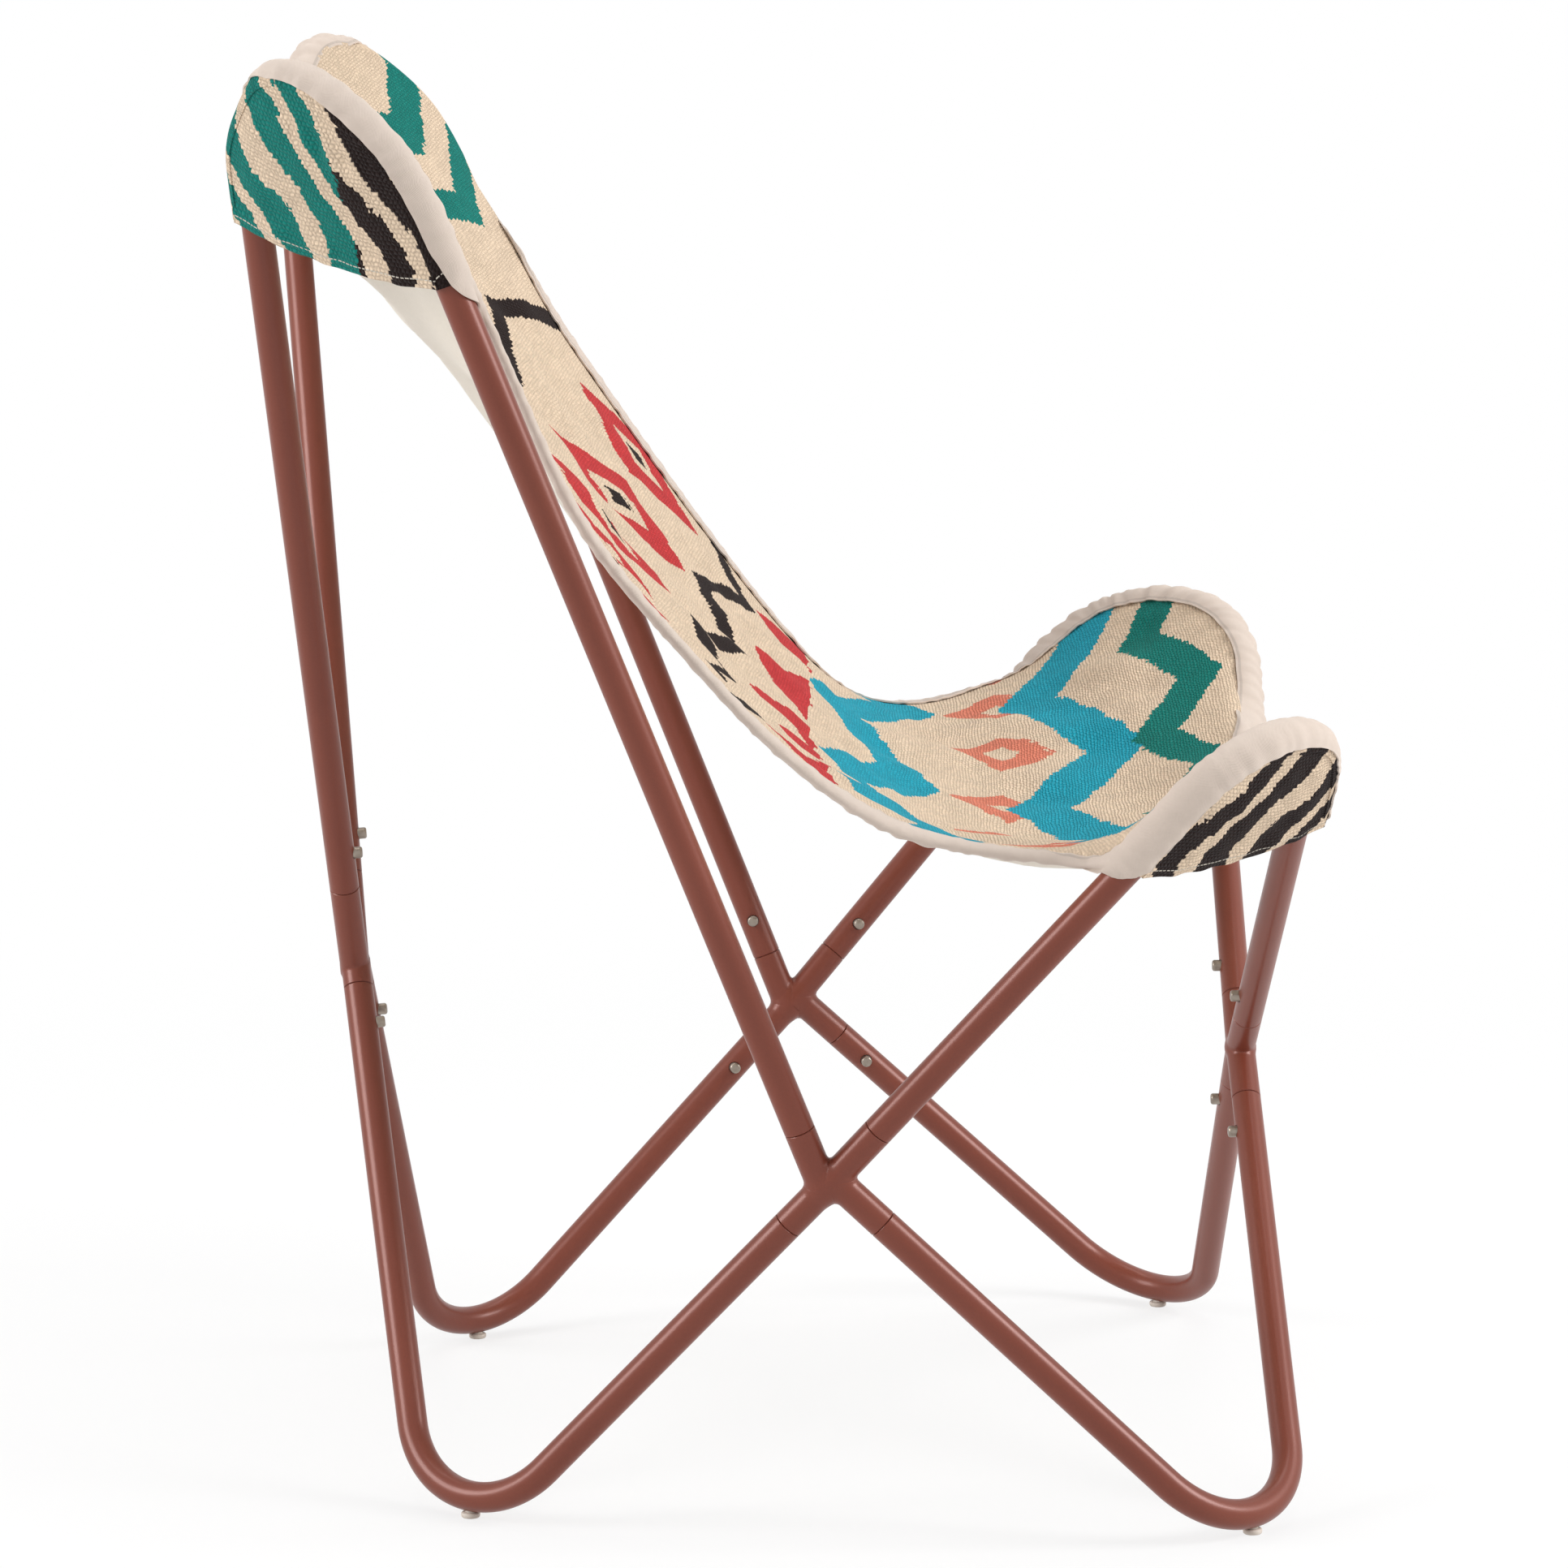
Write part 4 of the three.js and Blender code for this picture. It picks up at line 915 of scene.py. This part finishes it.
# Folds of the hanging cloth, which die away at its edges and on the loops
from_edge = np.minimum(np.minimum(columns, ACROSS - columns)[None], np.minimum(rows, DOWN - rows)[:, None])
free_cloth = ramp(from_edge, 0.6, 3.5) * (1 - hold[..., 0])
folds = ripple(flat, ((1, 0.25), 71, 1.5, 0.4), ((1, -0.3), 53, 1.1, 2.1),
               ((0.35, 1), 83, 1.1, 1.0), ((1, 0.6), 37, 0.5, 0.2))
sling = sling + normals * (folds * free_cloth)[..., None]
hanging = unit(lerp(grid_normals(sling), ear_normals, hold))
face = shell("woven_face", sling + hanging * FACE_LOW, sling + hanging * FACE_TOP, flat, FACE)
settle(face, "woven_wool", "sling_face")
lining = shell("canvas_lining", sling + hanging * LINING_LOW, sling + hanging * LINING_TOP, flat, LINING)
settle(lining, "canvas", "sling_lining")


# The canvas strip round the sling's whole rim: it wraps each loop's outside over the pocket's top,
# and past the pocket it peels off the leg and closes into a rolled hem
STRIP, STRIP_STEP = 15, 2.2
THICK = 1.1
HEM_NOSE, HEM_SETBACK, HEM_HALF, LEFT_HEM_GROWN = 4.6, 1.6, 3.3, 1.35
FLAP, INNER_LINES = 14, 9
# The far front ear's band lies loose, and becomes a hem a little later
LOOSE_EAR, LOOSE_PUFF, LATE_TURN = "left_front", 1.5, 0.4


def hem_profile(upper_flap, lower_flap):
    """The strip's outline where it is a hem, outwards and upwards from the edge."""
    t = np.linspace(0, 1, STRIP)
    nose = np.clip((t - 0.3) / 0.4, 0, 1) * math.pi
    out = HEM_NOSE * np.sin(nose) - HEM_SETBACK
    out = out - np.where(t < 0.3, (0.3 - t) / 0.3 * (upper_flap - HEM_SETBACK), 0)
    out = out - np.where(t > 0.7, (t - 0.7) / 0.3 * (lower_flap - HEM_SETBACK), 0)
    plump = 1 - 0.3 * np.clip(np.abs(t - 0.5) / 0.5 * 2.5 - 1.5, 0, 1)
    return np.stack([out, HEM_HALF * np.cos(nose) * plump], -1)


def pucker(run, t, creased):
    """Small waves along the strip, with sharp creases where it is creased."""
    phase = 2 * math.pi * run / 12.5 + 1.7 * np.sin(run / 13.0) + 1.1 * np.sin(run / 7.3 + 1)
    other = 2 * math.pi * run / 21.0 + 2.1 * np.sin(run / 19.0)
    waves = (0.34 * np.sin(phase + 2.0 * t) + 0.3 * np.sin(other - 3 * t)) * (0.45 + 1.1 * np.abs(t - 0.5))
    return waves * (1.1 + 0.8 * creased) - 1.5 * creased * (0.5 + 0.5 * np.sin(phase + 5 * t)) ** 3


def off_tubes(points, least):
    for bend in loops:
        turn, outside, lift = bend.measure(points)
        away = np.hypot(outside, lift)
        grow = np.where(away < least, least / np.maximum(away, 1e-3) - 1, 0)[..., None]
        points = points + (bend.outward(turn) * outside[..., None] + bend.normal * lift[..., None]) * grow
    return points


def edge_sections(key):
    """Cross-sections of the strip along one edge, and each one's turn and the turn where it is a hem."""
    edge, on_side = edges[key], key in OUT
    count = int(edge.curve.length / STRIP_STEP)
    shares = np.linspace(0, 1, count)
    points = edge.curve.at(shares)

    def inner_lines(grid):
        """The grid's first lines inside this edge, at every section of the strip."""
        lines = {
            "right": grid[:, :INNER_LINES], "left": grid[:, :-1 - INNER_LINES:-1],
            "rear": grid[:INNER_LINES].swapaxes(0, 1),
            "front": grid[:-1 - INNER_LINES:-1].swapaxes(0, 1)}[key]
        return np.stack([[np.interp(shares, net_shares[key], lines[:, c, k]) for c in range(INNER_LINES)]
                         for k in range(3)], -1)

    cloth, cloth_up = inner_lines(sling), inner_lines(hanging)
    up = unit(inner_lines(normals)[0])
    away = np.cross(unit(np.gradient(points, axis=0)), up)
    inside = sling[len(rows) // 2, len(columns) // 2] - points[count // 2]
    if away[count // 2] @ inside > 0:
        away = -away
    away = unit(away)
    t = np.linspace(0, 1, STRIP)
    sections, turns = [], []
    for k in range(count):
        ear = edge.first if k < count / 2 else edge.last
        end = ear.name.split("_")[1]
        turn = float(ear.bend.measure(points[k])[0])
        hem_turn, leave = HEM[end][on_side], LEAVE[end][on_side]
        flap = FLAP * float(ramp(abs(turn), hem_turn + 0.3, hem_turn + 1.3))
        profile = hem_profile(3 + flap * 0.8, 1.7 + flap * 0.88) * (1, LEFT_HEM_GROWN if key == "left" else 1)
        slope = np.gradient(profile, axis=0)
        side_way = unit(np.stack([-slope[:, 1], slope[:, 0]], -1))
        if side_way[STRIP // 2, 0] < 0:
            side_way = -side_way
        run = shares[k] * edge.curve.length
        puff = pucker(run, t, float(ear.name.startswith("left")))
        if ear.name == LOOSE_EAR:
            puff = puff + LOOSE_PUFF
        calm = pucker(run, t, 0.0)
        calm = np.where(profile[:, 0] < 0, np.maximum(calm, -0.1) + 0.3, calm * 2)
        degrees = lerp(ear.border(turn, 1), ear.border(turn, 2), t)
        late = LATE_TURN if ear.name == LOOSE_EAR and not on_side else 0.0
        start = lerp(leave, hem_turn + late, t)
        loose = ramp(abs(turn), start, start + 0.6)[:, None]
        run_in = run_along(cloth[:, k])
        ring = []
        for thick, least in ((0.0, 11.2), (THICK, 10.05)):
            path = profile + side_way * (calm - thick)[:, None]
            free = points[k] + path[:, :1] * away[k] + path[:, 1:] * up[k]
            on_cloth = path[:, 0] < 0
            reach = -path[on_cloth, 0]
            line, ways = (np.stack([np.interp(reach, run_in, field[:, c]) for c in range(3)], -1)
                          for field in (cloth[:, k] - cloth[0, k], cloth_up[:, k]))
            free[on_cloth] = points[k] + line + path[on_cloth, 1:] * unit(ways)
            wrapped = ear.wrap(turn, degrees, THICK - thick + puff)
            over = degrees > 91
            if over.any():
                wrapped[over] = ear.on_face(wrapped[over], THICK - thick + np.maximum(puff[over] - 0.6, 0))
            ring.append(off_tubes(lerp(wrapped, free, loose), least))
        sections.append(np.concatenate([ring[0], ring[1][::-1]]))
        turns.append((abs(turn), hem_turn))
    return np.array(sections), np.array(turns)


def strip(sections):
    """A strip through its cross-sections, with its flat coordinates."""
    points, faces = rings(sections)
    u, v = run_along(sections[:, STRIP // 2]), run_along(sections[:, :STRIP], 1)
    v = np.concatenate([v, v[:, ::-1]], axis=1)
    return points, faces, np.stack([np.broadcast_to(u[:, None], v.shape), v], -1).reshape(-1, 2)


def tucked(ear, turns, start, stop, depths, flat_edge, flat_out):
    """Cloth that carries on round the tube under the band, from one angle to another."""
    share = np.linspace(0, 1, 8)
    angles = lerp(start, stop[:, None], share)
    layers = [ear.wrap(turns[:, None], angles, -lerp(a, b, share)) for a, b in depths]
    points, faces = rings(np.concatenate([layers[0], layers[1][:, ::-1]], axis=1))
    run = np.abs(np.radians(angles - start)) * WRAP_ROUND
    uv = flat_edge[:, None] + flat_out[:, None] * run[..., None]
    return points, faces, np.concatenate([uv, uv[:, ::-1]], axis=1).reshape(-1, 2)


def add_shell(piece, points, faces, uv):
    extra = mesh_piece("extra", points, faces, piece.data.materials[0], uv, smooth_angle=60)
    with bpy.context.temp_override(active_object=piece, selected_editable_objects=[piece, extra]):
        bpy.ops.object.join()


def tuck_face(name, which):
    """Carries the face on round the tube under a far ear's band; which picks the edge's line in the net."""
    ear, line, flat_line, next_line = ears[name], which(sling, 0), which(flat, 0), which(flat, 2)
    turns = ear.bend.measure(line)[0]
    number = np.arange(len(line))
    near = number < len(line) / 2 if name == "left_rear" else number > len(line) / 2
    chosen = near & (np.abs(turns) < 2.35)
    turns, flat_edge = turns[chosen], flat_line[chosen]
    stop = np.minimum(ear.border(turns, 1) - 12, 80)
    outwards_flat = unit(flat_edge - next_line[chosen])
    add_shell(face, *tucked(ear, turns, 84.0, stop, ((0.0, 0.5), (1.4, 1.3)), flat_edge, outwards_flat))


tuck_face("left_rear", lambda grid, inwards: grid[:, -1 - inwards])
tuck_face("left_front", lambda grid, inwards: grid[-1 - inwards])

edge_parts, band_parts = [], {name: [] for name in ears}
for key in edges:
    sections, turns = edge_sections(key)
    ended = turns[:, 0] > turns[:, 1] + 0.9
    first = int(np.argmax(ended))
    last = len(sections) - int(np.argmax(ended[::-1]))
    edge_parts.append(strip(sections[first - 1:last + 1]))
    one, other = (f"{key}_rear", f"{key}_front") if key in OUT else (f"right_{key}", f"left_{key}")
    band_parts[one].append(sections[:first])
    band_parts[other].append(sections[last:][::-1])


def ear_band(name, one, other):
    points, faces, uv = strip(np.concatenate([one[::-1], other[1:]]))
    band = mesh_piece(f"canvas_{name}_band", points, faces, BINDING, uv, smooth_angle=70)
    return settle(band, "canvas", f"{name}_ear_band")


canvas_bands = [ear_band(name, *parts) for name, parts in band_parts.items()]
points, faces = joined([(points, faces) for points, faces, _uv in edge_parts])
uv = np.concatenate([uv for _points, _faces, uv in edge_parts])
binding = mesh_piece("rolled_binding", points, faces, BINDING, uv, smooth_angle=70)
settle(binding, "canvas", "sling_binding")

POCKET_ACROSS, POCKET_DOWN, TUCK_STEPS = 48, 28, 90
POCKET_HEM, STITCHES_UP = 9, 5.5


def ear_pocket(name, ear):
    """A woven panel over a loop, from under the band down to a turned hem."""
    middle_hem, side_hem = HEM[name.split("_")[1]]
    u = np.linspace(0, 1, POCKET_ACROSS + 1)
    share = np.linspace(0, 1, POCKET_DOWN + 1)

    def rim(turn):
        return ear.rim(turn, -CLOTH_RIM)

    ends = [rim(lerp(a, b, share))[:, None] for a, b in ((-1.0, -middle_hem), (1.0, side_hem))]
    arch = rim(lerp(-1.0, 1.0, u)) - lerp(rim(-1.0), rim(1.0), u[:, None])
    bow = ear.bend.up * (-POCKET_BOW * 4 * u * (1 - u))[:, None]
    down = share[:, None, None]
    grid = lerp(ends[0], ends[1], u[:, None]) + arch * (1 - down) + bow * down
    local = grid - ear.bend.centre
    on_flat = np.stack([local @ ear.bend.side, local @ ear.bend.up], -1)
    above_hem = np.linalg.norm(grid - grid[-1:], axis=-1)
    down = share[:, None]
    edge_fade = ramp(np.minimum(u, 1 - u), 0.02, 0.2)[None] * ramp(down, 0.02, 0.25)
    swell = 3.2 * edge_fade * np.sin(math.pi * np.clip(down * 0.8, 0, 1))
    crease = ripple(on_flat, ((1, 0.5), 27, 0.5, 0.3), ((1, -0.8), 19, 0.35, 1.2), ((0.2, 1), 31, 0.3, 2.0))
    if "rear" in name:
        below_band = np.exp(-((down - 0.22) / 0.16) ** 2) * ramp(u, 0.35, 0.6) * (1 - ramp(u, 0.86, 0.98))
        wrinkles = ripple(on_flat, ((1, 0.35), 15.5, 0.7, 0.9), ((1, -0.2), 24, 0.6, 2.6))
        crease = crease + 1.5 * below_band * wrinkles
    lower = grid - ear.bend.normal * (swell + (crease + 0.6) * edge_fade)[..., None]
    thick = 1.6 + 1.1 * (1 - ramp(above_hem, POCKET_HEM, POCKET_HEM + 2))
    upper = lower - ear.bend.normal * thick[..., None]
    uv = np.stack([on_flat[..., 0], above_hem - STITCHES_UP], -1)
    pocket = shell(f"woven_{name}_pocket", lower, upper, uv, REAR_POCKET if "rear" in name else FRONT_POCKET)
    turns = np.linspace(-middle_hem, side_hem, TUCK_STEPS)
    column = np.round(np.clip((turns + 1) / 2, 0, 1) * POCKET_ACROSS).astype(int)
    beyond = np.where(turns < 0, (-turns - 1) / (middle_hem - 1), (turns - 1) / (side_hem - 1))
    flat_edge = uv[np.round(np.clip(beyond, 0, 1) * POCKET_DOWN).astype(int), column]
    stop = ear.border(turns, 2) + 12
    add_shell(pocket, *tucked(ear, turns, -84.0, stop, ((0.3, 0.3), (1.9, 1.9)), flat_edge,
                              unit(flat_edge - vec(0, 35))))
    return settle(pocket, "woven_wool", f"{name}_pocket")


pockets = [ear_pocket(name, ear) for name, ear in ears.items()]

# The camera at the photograph's place: its focal length in the photograph's pixels, its spot and its turns
PHOTO_WIDTH, FOCAL_PIXELS, SENSOR = 1932, 6834.8, 36
CAMERA_SPOT = (-3563.4, 145.7, 1000)
YAW, PITCH, ROLL = -0.03822, 0.160, 0.001


def photo_camera():
    forward = vec(math.cos(PITCH) * math.cos(YAW), math.cos(PITCH) * math.sin(YAW), -math.sin(PITCH))
    right = unit(np.cross(forward, UP))
    down = np.cross(forward, right)
    right, down = (math.cos(ROLL) * right + math.sin(ROLL) * down,
                   -math.sin(ROLL) * right + math.cos(ROLL) * down)
    lens = bpy.data.cameras.new("camera")
    lens.lens, lens.sensor_width = FOCAL_PIXELS / PHOTO_WIDTH * SENSOR, SENSOR
    camera = bpy.data.objects.new("camera", lens)
    spot = place(vec(*CAMERA_SPOT))
    camera.matrix_world = Matrix([
        *([right[k], -down[k], -forward[k], spot[k]] for k in range(3)), [0, 0, 0, 1]])
    bpy.context.scene.collection.objects.link(camera)
    bpy.context.scene.camera = camera


# Floor, light and white surroundings
WHITE = (1, 1, 1, 1)


def seen_white(tree):
    """One for the rays that show the surroundings: straight, in gloss and through glass."""
    rays = tree.nodes.new("ShaderNodeLightPath")
    camera, glossy, through = (Field(tree, rays.outputs[f"Is {kind} Ray"])
                               for kind in ("Camera", "Glossy", "Transmission"))
    return (camera + glossy + through).op("MINIMUM", 1.0)


def floor_look(tree, shader):
    """A pale floor that glows white where it is seen, a little less near the chair's shadow."""
    near = 1.6
    glow = add_node(tree, "Emission", {"Color": WHITE})
    away = Field(tree, add_node(tree, "VectorMath", {0: object_place(tree)}, "Value", operation="LENGTH"))
    far = away.op("SMOOTH_MIN", near, 0.3) * (1 / near)
    inputs = {0: seen_white(tree) * (far * 0.3 + 0.7), 1: shader.outputs[0], 2: glow}
    feed(tree, add_node(tree, "MixShader", inputs), tree.nodes["Material Output"].inputs["Surface"])


def pale_floor():
    pale = material("pale_floor", floor_look, Base_Color=(0.86, 0.86, 0.86, 1), Roughness=0.9)
    bpy.ops.mesh.primitive_circle_add(vertices=64, radius=60, fill_type="NGON", location=(0, 0, 0))
    floor = bpy.context.object
    floor.name = "floor"
    floor.data.materials.append(pale)


def studio_world():
    world = bpy.data.worlds.new("studio")
    bpy.context.scene.world = world
    world.use_nodes = True
    tree = world.node_tree
    back = tree.nodes["Background"]
    back.inputs["Color"].default_value = WHITE
    feed(tree, seen_white(tree) * 0.55 + 0.45, back.inputs["Strength"])


def lamp(name, spot, aim, size, power):
    data = bpy.data.lights.new(name, "AREA")
    data.shape, data.size, data.energy = "SQUARE", size, power
    light = bpy.data.objects.new(name, data)
    light.location = spot
    light.rotation_euler = (Vector(aim) - Vector(spot)).to_track_quat("-Z", "Y").to_euler()
    bpy.context.scene.collection.objects.link(light)


photo_camera()
pale_floor()
studio_world()
lamp("key", (-0.8, -2.9, 2.0), (0, 0, 0.45), 1.4, 84)
lamp("fill", (-0.8, 2.9, 1.7), (0, 0, 0.45), 1.4, 62)
lamp("top", (0.4, 0.0, 3.0), (0, 0, 0.4), 2.0, 30)
bpy.context.scene.view_settings.view_transform = "Standard"

# Every piece of cloth, with the size it was cut to
for name, band, pocket in zip(ears, canvas_bands, pockets):
    end = name.split("_")[1]
